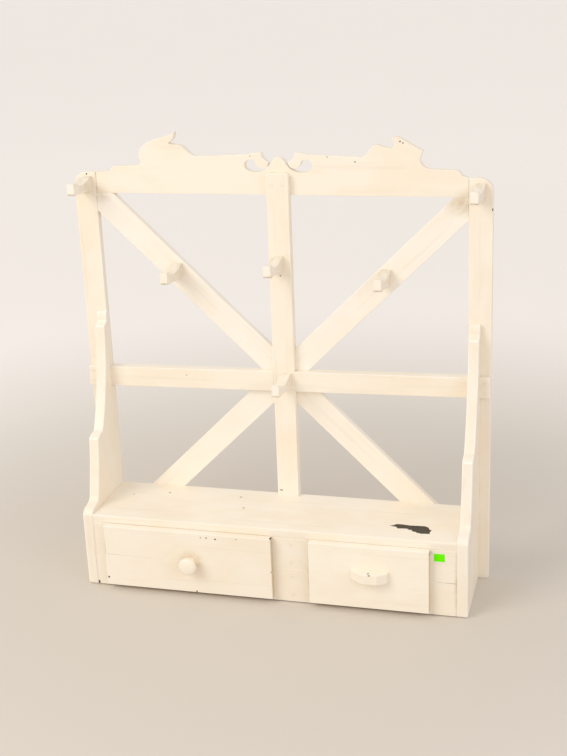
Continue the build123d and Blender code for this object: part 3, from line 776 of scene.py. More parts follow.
# ------------------------------------------------------------------ nails
@dataclass
class DrivenNails:
    """Nails of one size, grown on points by a Geometry Nodes tree."""

    name: str
    head_radius: float = 2.6
    head_thick: float = 1.2
    dome: float = 0.12
    shank_radius: float = 1.2
    shank_length: float = 22.0
    seed: int = 7

    def tree(self, finish: bpy.types.Material) -> bpy.types.NodeTree:
        """Grow a domed nail on each point, aimed along the point's aim.

        Args:
            finish: The nails' material.

        Returns:
            The tree, with the nail's sizes as its inputs.
        """
        tree = bpy.data.node_groups.new(self.name + "_tree", "GeometryNodeTree")
        tree.interface.new_socket("Geometry", in_out="INPUT", socket_type="NodeSocketGeometry")
        for label in ("Head Radius", "Head Thickness", "Dome", "Shank Radius", "Shank Length"):
            tree.interface.new_socket(label, in_out="INPUT", socket_type="NodeSocketFloat")
        tree.interface.new_socket("Geometry", in_out="OUTPUT", socket_type="NodeSocketGeometry")
        given = add_node(tree, "NodeGroupInput").outputs

        def lifted(mesh: bpy.types.NodeSocket, height: object,
                   scale: object = (1.0, 1.0, 1.0)) -> bpy.types.NodeSocket:
            """Scale a mesh and move it along the nail's axis."""
            up = add_node(tree, "ShaderNodeCombineXYZ", {"Z": height}).outputs[0]
            return add_node(tree, "GeometryNodeTransform", {
                "Geometry": mesh, "Translation": up, "Scale": scale}).outputs[0]

        def over(first: bpy.types.NodeSocket, second: object) -> bpy.types.NodeSocket:
            """One value over another."""
            return add_node(tree, "ShaderNodeMath", {0: first, 1: second}, operation="DIVIDE").outputs[0]

        head = add_node(tree, "GeometryNodeMeshCylinder", {
            "Vertices": 24, "Radius": given["Head Radius"], "Depth": given["Head Thickness"]}).outputs[0]
        ball = add_node(tree, "GeometryNodeMeshUVSphere", {
            "Segments": 24, "Rings": 10, "Radius": given["Head Radius"]}).outputs[0]
        flat = over(given["Dome"], given["Head Radius"])
        squash = add_node(tree, "ShaderNodeCombineXYZ", {"X": 1.0, "Y": 1.0, "Z": flat}).outputs[0]
        shank = add_node(tree, "GeometryNodeMeshCylinder", {
            "Vertices": 12, "Radius": given["Shank Radius"],
            "Depth": given["Shank Length"]}).outputs[0]
        nail = add_node(tree, "GeometryNodeJoinGeometry")
        for part in (lifted(head, over(given["Head Thickness"], -2.0)), lifted(ball, 0.0, squash),
                     lifted(shank, over(given["Shank Length"], -2.0))):
            tree.links.new(part, nail.inputs[0])
        place = add_node(tree, "GeometryNodeInputPosition").outputs[0]
        level = add_node(tree, "ShaderNodeVectorMath", {0: place, 1: (1.0, 1.0, 0.0)},
                         operation="MULTIPLY").outputs[0]
        out = add_node(tree, "ShaderNodeVectorMath", {0: level}, operation="LENGTH").outputs["Value"]
        marked = add_node(tree, "GeometryNodeStoreNamedAttribute", {
            "Geometry": nail.outputs[0], "Name": "rim", "Value": over(out, given["Head Radius"])},
            data_type="FLOAT", domain="POINT").outputs[0]
        aim = add_node(tree, "GeometryNodeInputNamedAttribute", {"Name": "aim"},
                       data_type="FLOAT_VECTOR").outputs[0]
        turn = add_node(tree, "FunctionNodeAlignRotationToVector", {"Vector": aim}, axis="Z").outputs[0]
        vary = add_node(tree, "FunctionNodeRandomValue", {
            "Min": (0.92, 0.92, 0.92), "Max": (1.0, 1.0, 1.0), "Seed": self.seed},
            data_type="FLOAT_VECTOR").outputs[0]
        grown = add_node(tree, "GeometryNodeInstanceOnPoints", {
            "Points": given["Geometry"], "Instance": marked, "Rotation": turn, "Scale": vary}).outputs[0]
        real = add_node(tree, "GeometryNodeRealizeInstances", {"Geometry": grown}).outputs[0]
        dressed = add_node(tree, "GeometryNodeSetMaterial", {
            "Geometry": real, "Material": finish}).outputs[0]
        add_node(tree, "NodeGroupOutput", {"Geometry": dressed})
        return tree

    def make(self, places: Sequence[tuple[Vector, Vector]],
             finish: bpy.types.Material) -> bpy.types.Object:
        """Grow the nails.

        Args:
            places: For each nail, the middle of its head's face and the way out of the wood.
            finish: The nails' material.

        Returns:
            One plain mesh object of all the nails.
        """
        mesh = bpy.data.meshes.new(self.name)
        mesh.from_pydata([p for p, _ in places], [], [])
        aim = mesh.attributes.new("aim", "FLOAT_VECTOR", "POINT")
        for entry, (_, way) in zip(aim.data, places):
            entry.vector = way
        piece = add_object(self.name, mesh)
        grow = piece.modifiers.new("grow", "NODES")
        grow.node_group = self.tree(finish)
        sizes = {"Head Radius": self.head_radius, "Head Thickness": self.head_thick, "Dome": self.dome,
                 "Shank Radius": self.shank_radius, "Shank Length": self.shank_length}
        for item in grow.node_group.interface.items_tree:
            if item.in_out == "INPUT" and item.name in sizes:
                grow[item.identifier] = sizes[item.name] * MM
        settle(piece)
        piece.data.shade_smooth()
        piece.data.set_sharp_from_angle(angle=math.radians(40.0))
        return piece


def solids_of(node: str) -> list[tuple[Vector, Vector]]:
    """Tell a node's separate solids apart.

    Args:
        node: The CAD node.

    Returns:
        The lower and upper corner of each solid's box, metres.
    """
    shape = bmesh.new()
    shape.from_mesh(bpy.data.objects[node].data)
    bmesh.ops.remove_doubles(shape, verts=shape.verts, dist=1e-6)
    boxes, seen = [], set()
    for first in shape.verts:
        if first in seen:
            continue
        seen.add(first)
        queue, points = [first], []
        while queue:
            vert = queue.pop()
            points.append(vert.co.copy())
            near = [e.other_vert(vert) for e in vert.link_edges if e.other_vert(vert) not in seen]
            seen.update(near)
            queue += near
        boxes.append((Vector([min(p[i] for p in points) for i in range(3)]),
                      Vector([max(p[i] for p in points) for i in range(3)])))
    shape.free()
    return boxes


def nail_places(node: str) -> list[tuple[Vector, Vector]]:
    """Where each nail of a node has its head.

    Args:
        node: The CAD node, whose solids are nails along one axis each.

    Returns:
        For each nail, the middle of its head's face and the way out of the wood.
    """
    places = []
    for low, high in solids_of(node):
        middle, size = (low + high) / 2, high - low
        axis = max(range(3), key=lambda i: size[i])
        # every nail along y is driven from the front, and the others from the nearer side
        outward = -1.0 if axis == 1 or middle[axis] < 0 else 1.0
        way = Vector((0.0, 0.0, 0.0))
        way[axis] = outward
        head = middle.copy()
        head[axis] = low[axis] if outward < 0 else high[axis]
        places.append((head, way))
    return places


# ------------------------------------------------------------------ finishes of this rack
@dataclass(frozen=True)
class Finishes:
    """Every finish on the rack."""

    grounds: tuple[bpy.types.Material, bpy.types.Material]
    pine: dict[Grain, bpy.types.Material]
    nail: bpy.types.Material
    steel: bpy.types.Material
    label: bpy.types.Material

    @staticmethod
    def make() -> "Finishes":
        """Mix all the finishes once.

        Returns:
            The rack's finishes.
        """
        pine = {grain: BarePine("bare_pine_" + grain.name.lower(), grain).material()
                for grain in (Grain.LEVEL, Grain.UPRIGHT, Grain.DEPTH)}
        grounds = (ChippedGround("dark_stain_in_chips").material(),
                   ChippedGround("rubbed_primer_in_chips", "#8F8066", "#BDAA8A").material())
        return Finishes(grounds, pine, PaintedNail("painted_wire_nail").material(),
                        DullSteel("dull_screw_steel").material(),
                        PaperLabel("bright_green_paper").material())


# The braces and pegs kept a paler coat than the rest; the pegs' darker colour is greener, for their grime and
# for the painted shade at their roots and under their tips.
PAINT = {grain: BrushedPaint("cream_oil_paint_" + grain.name.lower(), grain) for grain in Grain}
for slope in (Grain.RISING, Grain.FALLING, Grain.DEPTH):
    PAINT[slope] = replace(PAINT[slope], body="#FDF6EA", aged="#FBF1E0")
PAINT[Grain.DEPTH] = replace(PAINT[Grain.DEPTH], grime_and_shade="#CBBB93")
LATER_COAT = replace(PAINT[Grain.LEVEL], name="cream_oil_paint_later_coat", body="#FEF6E6", aged="#FBF0DD")


def paint_for(node: str, grain: Grain, shade_and_grime: Sequence[ShadeAndGrime] = ()) -> BrushedPaint:
    """The rack's paint for one board, with a mix of its own where the board is darkened by painted shade and
    grime.

    Args:
        node: The board.
        grain: The way that its grain runs.
        shade_and_grime: Where it is darkened, by painted shade and in places grime.

    Returns:
        The paint.
    """
    if not shade_and_grime:
        return PAINT[grain]
    return replace(PAINT[grain], name=f"{PAINT[grain].name}_{node}", shade_and_grime=tuple(shade_and_grime))


def dress(node: str, material: bpy.types.Material) -> None:
    """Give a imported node's own mesh its material.

    Args:
        node: The CAD node, whose mesh stays as it is.
        material: The finish for all of it.
    """
    for slot in bpy.data.objects[node].material_slots:
        slot.material = material
    LOG.info("%s keeps its packed shape", node)


def paint_beads(name: str, runs: Sequence[tuple], sides: int = 12) -> bpy.types.Object:
    """Thin beads of paint that have run into joints.

    Args:
        name: The piece's name.
        runs: For each bead its start, its end and its radius, in mm.
        sides: Sides round a bead.

    Returns:
        One object of all the beads.
    """
    shape = bmesh.new()
    for start, end, radius in runs:
        way = (Vector(end) - Vector(start)) * MM
        middle = Matrix.Translation((Vector(start) + Vector(end)) / 2 * MM)
        aimed = middle @ way.to_track_quat("Z", "Y").to_matrix().to_4x4()
        bmesh.ops.create_cone(shape, cap_ends=True, segments=sides, radius1=radius * MM, radius2=radius * MM,
                              depth=way.length, matrix=aimed)
    mesh = bpy.data.meshes.new(name)
    shape.to_mesh(mesh)
    shape.free()
    mesh.materials.append(painted(PAINT[Grain.LEVEL]))
    piece = add_object(name, mesh)
    smooth(piece)
    return piece


# ------------------------------------------------------------------ peg frame
@dataclass
class PegFrame:
    """Posts, crest, stile, rail, braces, back board and hook pegs."""

    finishes: Finishes
    body: str = "rack"
    edge: float = 0.45          # rounding on boards that have a planed arris already
    back_edge: float = 0.8
    crest_edge: float = 1.4
    peg_edge: float = 2.2
    peg_lip: float = 6.5        # lower edge of a peg's tip over its lowest point
    root_reach: Place = (60.0, 84.0, 60.0)      # how far the painted shade and grime at a peg's root spreads
    # painted shade under the lip of each peg's tip spreads this far
    lip_reach: Place = (18.0, 12.0, 5.5)
    root_shade_and_grime: float = 0.46
    crossing_shade_and_grime: float = 0.36                # the peg at the crossing is darkened less
    lip_shade: float = 0.95
    crest_marks: tuple[Cut, ...] = (
        Chip(222.0, 811.5, 3.2, 2.4), Chip(227.0, 809.0, 2.6, 2.2), Chip(94.6, 784.6, 2.6, 1.8),
        Chip(143.6, 776.3, 3.2, 1.8), Chip(-43.5, 785.6, 2.4, 1.6),
        Check((-336.8, 757.0), (-337.4, 712.0), 1.5, 1.0), Check((338.4, 748.0), (338.0, 712.0), 0.9, 0.7))
    # Painted shade, with grime, in the corners where the crest's ends meet the posts and braces.
    crest_corner_shade_and_grime: tuple[ShadeAndGrime, ...] = (
        ShadeAndGrime((-336.0, FRAME_FACE, 718.0), (30.0, 14.0, 24.0), 0.7),
        ShadeAndGrime((336.0, FRAME_FACE, 714.0), (30.0, 14.0, 20.0), 0.5))
    stile_marks: tuple[Cut, ...] = (Chip(-9.5, 155.6, 7.0, 2.2, 0.9), Chip(5.9, 573.9, 2.4, 2.4))

    def board(self, node: str, slot: str, grain: Grain, cuts: Sequence[Cut] = (),
              edge: Optional[float] = None, least: float = 30.0, shade_and_grime: Sequence[ShadeAndGrime] = (),
              **more: object) -> bpy.types.Object:
        """One painted board of the frame."""
        return PaintedBoard(node, self.body, slot, paint_for(node, grain, shade_and_grime), self.finishes.grounds,
                            self.finishes.pine[Grain.LEVEL], self.edge if edge is None else edge, least,
                            cuts, **more).make()

    def make(self) -> None:
        """Build the whole frame."""
        self.bars()
        self.braces()
        self.board("back_board", "paint_level", Grain.LEVEL, edge=self.back_edge, least=40.0,
                   is_bare=lambda face: face.normal.y < -0.5)
        for name in ("left_post", "right_post", "upper_left_brace", "upper_right_brace", "stile", "crossing"):
            self.peg("peg_" + name, self.crossing_shade_and_grime if name == "crossing" else self.root_shade_and_grime)
        dress("crest_dowels", self.finishes.pine[Grain.LEVEL])
        heads = DrivenNails("frame_nail_heads").make(nail_places("frame_nails"), self.finishes.nail)
        attach(heads, self.body, "painted_nail", "frame_nails")

    def bars(self) -> None:
        """Posts, crest, stile and rail."""
        self.board("left_post", "paint_upright", Grain.UPRIGHT, [Chip(-354.8, 751.6, 2.8, 3.4, 1.2)])
        self.board("right_post", "paint_upright", Grain.UPRIGHT, [Chip(379.5, 697.0, 3.0, 6.0, 1.0)])
        self.board("scroll_crest", "paint_crest", Grain.LEVEL, self.crest_marks, self.crest_edge, 40.0,
                   self.crest_corner_shade_and_grime)
        self.board("centre_stile", "paint_upright", Grain.UPRIGHT, self.stile_marks)
        self.board("mid_rail", "paint_level", Grain.LEVEL, [Chip(-184.0, 377.0, 2.2, 1.8)])

    def braces(self) -> None:
        """The four half-diagonals, the upper ones cracked and darkened by painted shade and grime where they
        meet the posts.
        """
        self.board("brace_upper_left", "paint_falling_brace", Grain.FALLING,
                   [Check((-338.0, 711.0), (-338.4, 690.0), 1.3)],
                   shade_and_grime=[ShadeAndGrime((-331.0, FRAME_FACE, 716.0), (34.0, 14.0, 24.0), 0.5)])
        self.board("brace_upper_right", "paint_rising_brace", Grain.RISING,
                   [Check((338.2, 706.0), (338.0, 684.0), 1.0, 0.7)],
                   shade_and_grime=[ShadeAndGrime((328.0, FRAME_FACE, 706.0), (40.0, 14.0, 30.0), 0.75)])
        self.board("brace_lower_right", "paint_falling_brace", Grain.FALLING)
        self.board("brace_lower_left", "paint_rising_brace", Grain.RISING)

    def peg(self, node: str, grime_and_shade: float) -> None:
        """One hook peg, darkened by painted shade and grime at its root and by painted shade under the lip of
        its tip.

        Args:
            node: The peg.
            grime_and_shade: How dark its root is made, from 0 to 1, by painted shade and grime.
        """
        low, high = (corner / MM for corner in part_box(node))
        middle = (low.x + high.x) / 2
        root = ShadeAndGrime((middle, FRAME_FACE, (low.z + high.z) / 2), self.root_reach, grime_and_shade)
        lip = ShadeAndGrime((middle, low.y, low.z + self.peg_lip), self.lip_reach, self.lip_shade)
        self.board(node, "paint_peg", Grain.DEPTH, (), self.peg_edge, 40.0, [root, lip])


# ------------------------------------------------------------------ shelf case
@dataclass
class ShelfCase:
    """Side boards, shelf, fascia, divider, runners, guides, nails and label."""

    finishes: Finishes
    body: str = "rack"
    side_edge: float = 2.2
    shelf_edge: float = 0.45
    # Rim of the flaked patch, in mm from mid-width and from the front of the frame boards
    patch_rim: tuple[Spot, ...] = (
        (214.5, -105.5), (223.0, -101.0), (226.0, -96.5), (236.0, -96.5), (250.5, -98.5), (276.5, -97.0),
        (283.5, -100.5), (288.5, -110.5), (291.5, -112.0), (289.0, -118.5), (290.0, -126.0), (275.0, -128.0),
        (266.5, -125.0), (264.0, -122.0), (258.5, -121.5), (256.5, -116.0), (250.5, -115.5), (247.5, -112.0),
        (231.0, -114.0), (227.0, -108.0))
    # Knocks in the shelf, each with its place as above, its width and its depth from front to back
    knocks: tuple[tuple[float, float, float, float], ...] = (
        (-225.0, -36.5, 3.4, 5.0), (-84.0, -33.0, 6.0, 3.4), (-65.0, -79.0, 4.0, 3.6),
        (-291.5, -55.0, 2.4, 4.0))
    knock_deep: float = 0.5
    front_shadow_reach: Place = (8.0, 300.0, 90.0)       # painted shadow beside the left edge of each drawer front
    crease_shade_reach: Place = (6.5, 300.0, 110.0)   # painted shade in the crease by the right side board
    paper_thick: float = 0.12
    paper_lies: float = 0.06    # the paper's back in front of the fascia
    label_curl: float = 1.8
    curl_line: float = 1.55     # how far across and down the label its lift starts, as shares

    def board(self, node: str, slot: str, grain: Grain, edge: float, cuts: Sequence[Cut] = (),
              shade_and_grime: Sequence[ShadeAndGrime] = (), **more: object) -> bpy.types.Object:
        """One painted board of the case."""
        bare = self.finishes.pine[Grain.DEPTH if node.endswith("side_board") else Grain.LEVEL]
        return PaintedBoard(node, self.body, slot, paint_for(node, grain, shade_and_grime), self.finishes.grounds,
                            bare, edge, cuts=cuts, **more).make()

    def make(self) -> None:
        """Build the case."""
        self.sides()
        self.shelf()
        self.fascia()
        self.joints()
        for node in ("centre_divider", "drawer_runners", "drawer_guides"):
            dress(node, self.finishes.pine[Grain.DEPTH])
        nails = DrivenNails("case_nail_heads", shank_length=38.0, seed=11)
        heads = nails.make(nail_places("case_nails"), self.finishes.nail)
        attach(heads, self.body, "painted_nail", "case_nails")
        self.label()

    def sides(self) -> None:
        """The shaped side boards, bare inside the case."""
        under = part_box("shelf_board")[0].z
        for side, inward in (("left", 1.0), ("right", -1.0)):
            self.board(side + "_side_board", "paint_side_board", Grain.UPRIGHT, self.side_edge, split=under,
                       is_bare=lambda face, way=inward: face.normal.x * way > 0.5
                       and face.calc_center_median().z < under)

    def shelf(self) -> None:
        """The shelf, with its flaked patch and knocks, bare underneath."""
        patch = FlakedPatch(tuple((x, y + FRAME_FACE) for x, y in self.patch_rim))
        marks = [Chip(x, y + FRAME_FACE, wide, far, self.knock_deep, Face.TOP, Under.PRIMER)
                 for x, y, wide, far in self.knocks]
        self.board("shelf_board", "paint_shelf", Grain.LEVEL, self.shelf_edge, [patch, *marks],
                   is_bare=lambda face: face.normal.z < -0.5)

    def fascia(self) -> None:
        """The fascia's boards, cracked along their seam, with painted shadow beside the drawer fronts and
        painted shade by the right side board.
        """
        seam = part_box("fascia_left_block")[0].z / MM
        worn = [Chip(-334.0, 5.0, 4.0, 8.0, 1.2), Check((-338.0, seam), (-316.0, seam), 0.9),
                Check((343.0, seam), (292.0, seam), 2.0, 1.2)]
        # Painted shadow on the fascia beside the left edge of each drawer front, and painted shade in the
        # crease by the right side board.
        front_shadows = [ShadeAndGrime((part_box(name + "_drawer_front")[0].x / MM, 0.0, seam), self.front_shadow_reach, 0.9)
                for name in ("left", "right")]
        corner = ShadeAndGrime((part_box("fascia_lower_board")[1].x / MM, 0.0, seam), self.crease_shade_reach, 0.95)
        shade_and_grime = {"fascia_lower_board": [*front_shadows, corner], "fascia_right_block": [corner]}
        for node in ("fascia_lower_board", "fascia_left_block", "fascia_centre_block", "fascia_right_block"):
            self.board(node, "paint_fascia", Grain.LEVEL, self.shelf_edge,
                       worn if node == "fascia_lower_board" else (), shade_and_grime.get(node, front_shadows),
                       is_bare=lambda face: face.normal.y > 0.5)

    def joints(self, foot: float = 12.0) -> None:
        """Paint that closes the joints of the fascia with the shelf and the side boards.

        Args:
            foot: Height that the upright beads start at, mm.
        """
        low, high = (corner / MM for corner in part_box("fascia_lower_board"))
        under, top = (corner.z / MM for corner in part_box("shelf_board"))
        beads = [((low.x, low.y + 1.05, under), (high.x, low.y + 1.05, under), 1.0)]
        for x, radius in ((low.x + 0.4, 1.1), (high.x - 0.4, 0.6)):
            beads.append(((x, low.y + 0.7, foot), (x, low.y + 0.7, top - 1.0), radius))
        attach(paint_beads("paint_in_joints", beads), self.body, "paint_fascia")

    def label(self, columns: int = 14, rows: int = 10) -> None:
        """The bare paper label, lifting a little at its lower right corner.

        Args:
            columns: Squares across its mesh.
            rows: Squares up it.
        """
        low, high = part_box("price_sticker")
        sheet = bmesh.new()
        bmesh.ops.create_grid(sheet, x_segments=columns, y_segments=rows, size=0.5)
        for vert in sheet.verts:
            across, up = vert.co.x + 0.5, vert.co.y + 0.5
            lift = max(0.0, across + (1.0 - up) - self.curl_line) ** 2 * self.label_curl
            vert.co = Vector((low.x + across * (high.x - low.x), high.y - (self.paper_lies + lift) * MM,
                              low.z + up * (high.z - low.z)))
        bmesh.ops.recalc_face_normals(sheet, faces=sheet.faces)
        if sum(face.normal.y for face in sheet.faces) > 0:
            bmesh.ops.reverse_faces(sheet, faces=sheet.faces)
        mesh = bpy.data.meshes.new("green_paper_label")
        sheet.to_mesh(mesh)
        sheet.free()
        mesh.materials.append(self.finishes.label)
        piece = add_object("green_paper_label", mesh)
        paper = piece.modifiers.new("paper", "SOLIDIFY")
        paper.thickness = self.paper_thick * MM
        paper.offset = 1.0
        settle(piece)
        attach(piece, self.body, "green_label", "price_sticker")


# ------------------------------------------------------------------ drawers
LEFT_FRONT_MARKS = (
    Chip(-121.2, 122.4, 2.6, 2.0, under=Under.PRIMER), Chip(-110.2, 122.8, 3.2, 2.6),
    Chip(-93.3, 121.9, 4.0, 3.0), Chip(-53.5, 124.5, 3.0, 1.8, under=Under.PRIMER),
    Chip(11.0, 130.5, 6.0, 5.0, 2.5), Chip(11.0, FRAME_FACE - 165.5, 7.0, 16.0, 2.2, Face.TOP),
    Chip(9.4, 64.7, 1.6, 5.0, under=Under.PRIMER), Chip(-307.0, 25.5, 3.4, 4.4),
    Chip(-134.5, 12.1, 3.2, 3.2), Check((-312.0, 73.6), (-192.0, 72.0)))
RIGHT_FRONT_MARKS = (Chip(FRAME_FACE - 159.0, 122.9, 8.0, 5.0, 1.5, Face.RIGHT),)


@dataclass
class Drawer:
    """One drawer: painted front on a bare nailed box."""

    finishes: Finishes
    name: str
    cuts: Sequence[Cut] = ()
    shade_and_grime: Sequence[ShadeAndGrime] = ()
    coat: Optional[BrushedPaint] = None     # the front's own paint, where it isn't the rack's
    edge: float = 0.5

    def make(self) -> None:
        """Build the front and dress the box."""
        front = self.name + "_front"
        paint = self.coat or paint_for(front, Grain.LEVEL, self.shade_and_grime)
        # The front's ends, which face sideways, take the darker paint as painted shade.
        PaintedBoard(front, self.name, "paint_drawer_front", paint, self.finishes.grounds,
                     self.finishes.pine[Grain.LEVEL], self.edge, 30.0, self.cuts,
                     is_bare=lambda face: face.normal.y > 0.5,
                     is_soiled=lambda face: abs(face.normal.x) > 0.9).make()
        for part, grain in (("left_side", Grain.DEPTH), ("right_side", Grain.DEPTH), ("back", Grain.LEVEL),
                            ("bottom", Grain.LEVEL)):
            dress(f"{self.name}_{part}", self.finishes.pine[grain])
        self.corner_nails()

    def ridge(self, radius: float = 0.4) -> None:
        """A ridge of built-up paint along the front's upper back arris.

        Args:
            radius: Half the ridge's width, mm.
        """
        low, high = (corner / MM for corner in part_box(self.name + "_front"))
        y, z = high.y + 0.08, high.z - radius - 0.05
        bead = ((low.x + 1.0, y, z), (high.x - 1.0, y, z), radius)
        attach(paint_beads(self.name + "_paint_ridge", [bead]), self.name, "paint_drawer_front")

    def corner_nails(self, rise: Sequence[float] = (0.2, 0.5, 0.8)) -> None:
        """Small nails through the sides into the back.

        Args:
            rise: Their heights, as shares of the back's height.
        """
        back_low, back_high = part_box(self.name + "_back")
        places = []
        for side, way in (("left_side", -1.0), ("right_side", 1.0)):
            low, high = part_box(f"{self.name}_{side}")
            for share in rise:
                z = back_low.z + share * (back_high.z - back_low.z)
                head = Vector((low.x if way < 0 else high.x, (back_low.y + back_high.y) / 2, z))
                places.append((head, Vector((way, 0.0, 0.0))))
        nails = DrivenNails(self.name + "_box_nails", head_radius=1.6, head_thick=0.8, dome=0.2,
                            shank_radius=0.8, shank_length=16.0, seed=5)
        attach(nails.make(places, self.finishes.steel), self.name, "screw_steel")


@dataclass
class TurnedKnob:
    """The round knob of the left drawer, turned in one piece with its neck."""

    node: str = "left_drawer_knob"
    body: str = "left_drawer"
    steps: int = 64
    # Radius and distance from the drawer front, as shares: neck, flare, rim and a nearly flat face
    profile: tuple[Spot, ...] = (
        (0.50, 0.0), (0.45, 0.07), (0.43, 0.19), (0.46, 0.33), (0.60, 0.45), (0.82, 0.525), (0.95, 0.60),
        (1.0, 0.70), (0.99, 0.79), (0.935, 0.87), (0.82, 0.925), (0.64, 0.962), (0.42, 0.986), (0.20, 0.997),
        (0.0, 1.0))

    def make(self) -> None:
        """Spin the profile about the knob's axis."""
        low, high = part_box(self.node)
        centre, length, radius = (low + high) / 2, high.y - low.y, (high.x - low.x) / 2
        shape = bmesh.new()
        rings = []
        for share, out in self.profile[:-1]:
            ring = []
            for k in range(self.steps):
                angle = math.tau * k / self.steps
                ring.append(shape.verts.new((
                    centre.x + share * radius * math.cos(angle), high.y - out * length,
                    centre.z + share * radius * math.sin(angle))))
            rings.append(ring)
        crown = shape.verts.new((centre.x, high.y - self.profile[-1][1] * length, centre.z))
        for inner, outer in zip(rings, rings[1:]):
            for k in range(self.steps):
                after = (k + 1) % self.steps
                shape.faces.new((inner[k], inner[after], outer[after], outer[k]))
        for k in range(self.steps):
            shape.faces.new((rings[-1][k], rings[-1][(k + 1) % self.steps], crown))
        shape.faces.new(rings[0])
        bmesh.ops.recalc_face_normals(shape, faces=shape.faces)
        mesh = bpy.data.meshes.new("turned_knob")
        shape.to_mesh(mesh)
        shape.free()
        mesh.materials.append(painted(LATER_COAT))
        piece = add_object("turned_knob", mesh)
        smooth(piece)
        attach(piece, self.body, "paint_handle", self.node)


@dataclass
class BarPull:
    """The whittled bar pull of the right drawer."""

    finishes: Finishes
    node: str = "right_drawer_pull"
    body: str = "right_drawer"
    edge: float = 0.5

    def make(self) -> None:
        """Keep the whittled facets crisp and chip the bar's upper edge."""
        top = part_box(self.node)[1].z / MM
        chips = [Chip(190.0, -93.5, 4.0, 5.0, 0.6, Face.TOP, Under.PRIMER),
                 Chip(193.0, top - 0.4, 5.0, 3.0, 1.4, under=Under.PRIMER)]
        PaintedBoard(self.node, self.body, "paint_handle", LATER_COAT, self.finishes.grounds,
                     self.finishes.pine[Grain.LEVEL], self.edge, 12.0, chips, sharp=12.0).make()


# ------------------------------------------------------------------ studio
@dataclass(frozen=True)
class SoftLamp:
    """A square soft lamp that hangs at a place, with its power in watts and its side in metres."""

    name: str
    place: Place
    power: float
    size: float
    colour: str
    aim: Place = (0.0, 0.0, 0.4)

    def make(self) -> None:
        """Hang the lamp and aim it at the rack."""
        light = bpy.data.lights.new(self.name, "AREA")
        light.energy, light.size, light.color = self.power, self.size, linear(self.colour)[:3]
        lamp = bpy.data.objects.new(self.name, light)
        lamp.location = self.place
        lamp.rotation_euler = (Vector(self.aim) - Vector(self.place)).to_track_quat("-Z", "Y").to_euler()
        bpy.context.scene.collection.objects.link(lamp)


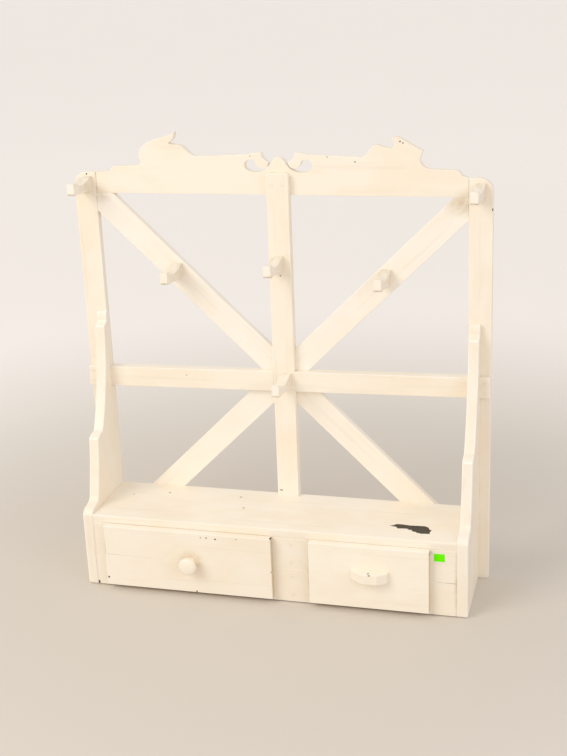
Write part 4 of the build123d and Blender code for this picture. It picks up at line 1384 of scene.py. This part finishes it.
@dataclass
class Studio:
    """Plain pale floor, soft lamps and the camera."""

    floor: str = "#DAD2C7"
    shown_floor: str = "#F9F4EF"
    sky: str = "#F5F2EF"
    shown_sky: str = "#F0EAE4"
    lamps: tuple[SoftLamp, ...] = (SoftLamp("key", (-2.1, -2.6, 2.7), 64.0, 2.2, "#FFFAF2"),
                                   SoftLamp("fill", (2.6, -1.8, 1.6), 19.0, 2.0, "#F4F3FF"))
    world: float = 0.78
    lift: float = 0.10          # glow of the floor behind the rack, which only the camera and gloss see
    far_lift: float = 0.17
    camera_at: Place = (0.6128, -2.1047, 1.1728)
    look_at: Place = (0.00034, 0.0905, 0.3764)
    roll: float = -2.41         # degrees
    lens: float = 62.4          # mm, as is the sensor's width
    sensor: float = 36.0

    def make(self) -> None:
        """Set the floor, the light and the camera."""
        self.ground()
        for lamp in self.lamps:
            lamp.make()
        self.surround()
        self.camera()

    def ground(self, reach: float = 40.0, near: float = 0.45, far: float = 1.9) -> None:
        """A wide plain floor, which pales with the distance from the rack.

        Args:
            reach: Half its width, metres.
            near: Where it starts to pale, metres from the middle.
            far: Where it is at its palest.
        """
        mesh = bpy.data.meshes.new("studio_floor")
        corners = [(x * reach, y * reach, 0.0) for x, y in ((-1, -1), (1, -1), (1, 1), (-1, 1))]
        mesh.from_pydata(corners, [], [(0, 1, 2, 3)])
        material, tree = new_material("plain_pale_floor")
        p = Pattern(tree, Grain.LEVEL)
        drift = p.cloud(600.0, 600.0, 1.0, 0.4)
        seen = self.seen(tree)
        place = add_node(tree, "ShaderNodeTexCoord").outputs["Object"]
        away = add_node(tree, "ShaderNodeVectorMath", {0: place}, operation="LENGTH").outputs["Value"]
        pale = p.sum(seen, p.span(away, near, far), "MULTIPLY")
        glow = p.span(away, 1.2, 5.0, self.lift, self.far_lift)
        close_with(tree, {
            "Base Color": p.mix(pale, linear(self.floor), linear(self.shown_floor)),
            "Roughness": p.span(drift, 0.3, 0.7, 0.62, 0.70), "Emission Color": linear(self.sky),
            "Emission Strength": p.sum(pale, glow, "MULTIPLY")})
        mesh.materials.append(material)
        add_object("studio_floor", mesh)

    def seen(self, tree: bpy.types.NodeTree) -> bpy.types.NodeSocket:
        """Tell rays that come to the eye straight, off a gloss or through glass from light.

        Args:
            tree: The node tree that asks.

        Returns:
            1 for such rays and 0 for the rest.
        """
        path = add_node(tree, "ShaderNodeLightPath").outputs
        either = add_node(tree, "ShaderNodeMath", {0: path["Is Camera Ray"], 1: path["Is Glossy Ray"]},
                          operation="MAXIMUM").outputs[0]
        return add_node(tree, "ShaderNodeMath", {0: either, 1: path["Is Transmission Ray"]},
                        operation="MAXIMUM").outputs[0]

    def surround(self) -> None:
        """A pale even world, shown in the colour of the lit floor so that no horizon shows."""
        world = bpy.data.worlds.new("pale_studio")
        world.use_nodes = True
        tree = world.node_tree
        tree.nodes.clear()
        seen = self.seen(tree)
        lit, shown = (add_node(tree, "ShaderNodeBackground", {"Color": linear(colour), "Strength": strength})
                      for colour, strength in ((self.sky, self.world), (self.shown_sky, 1.0)))
        both = add_node(tree, "ShaderNodeMixShader", {0: seen, 1: lit.outputs[0], 2: shown.outputs[0]})
        add_node(tree, "ShaderNodeOutputWorld", {"Surface": both.outputs[0]})
        bpy.context.scene.world = world

    def camera(self) -> None:
        """The camera, turned a little about its own line of sight."""
        data = bpy.data.cameras.new("camera")
        data.lens, data.sensor_width, data.sensor_fit = self.lens, self.sensor, "AUTO"
        data.dof.use_dof = False
        eye = bpy.data.objects.new("camera", data)
        ahead = (Vector(self.look_at) - Vector(self.camera_at)).normalized()
        right = ahead.cross(Vector((0.0, 0.0, 1.0))).normalized()
        up = right.cross(ahead)
        c, s = math.cos(math.radians(self.roll)), math.sin(math.radians(self.roll))
        turned_right, turned_up = c * right + s * up, -s * right + c * up
        turn = Matrix((turned_right, turned_up, -ahead)).transposed()
        eye.matrix_world = Matrix.Translation(self.camera_at) @ turn.to_4x4()
        bpy.context.scene.collection.objects.link(eye)
        bpy.context.scene.camera = eye


def main() -> None:
    """Set the studio, then build the rack piece by piece."""
    logging.basicConfig(level=logging.INFO, format="%(message)s")
    finishes = Finishes.make()
    Studio().make()
    PegFrame(finishes).make()
    ShelfCase(finishes).make()
    low, high = (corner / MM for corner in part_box("left_drawer_knob"))
    # Painted shade in a ring round the knob on the drawer front.
    knob_shade_ring = ShadeAndGrime(((low.x + high.x) / 2, high.y, (low.z + high.z) / 2), (31.0, 12.0, 31.0), 0.9)
    Drawer(finishes, "left_drawer", LEFT_FRONT_MARKS, [knob_shade_ring]).make()
    right = Drawer(finishes, "right_drawer", RIGHT_FRONT_MARKS, coat=LATER_COAT)
    right.make()
    right.ridge()
    TurnedKnob().make()
    BarPull(finishes).make()
    for node in ("left_knob_screw", "right_pull_screws"):
        dress(node, finishes.steel)
    bpy.context.scene.view_settings.view_transform = "Standard"


if __name__ == "__main__":
    main()
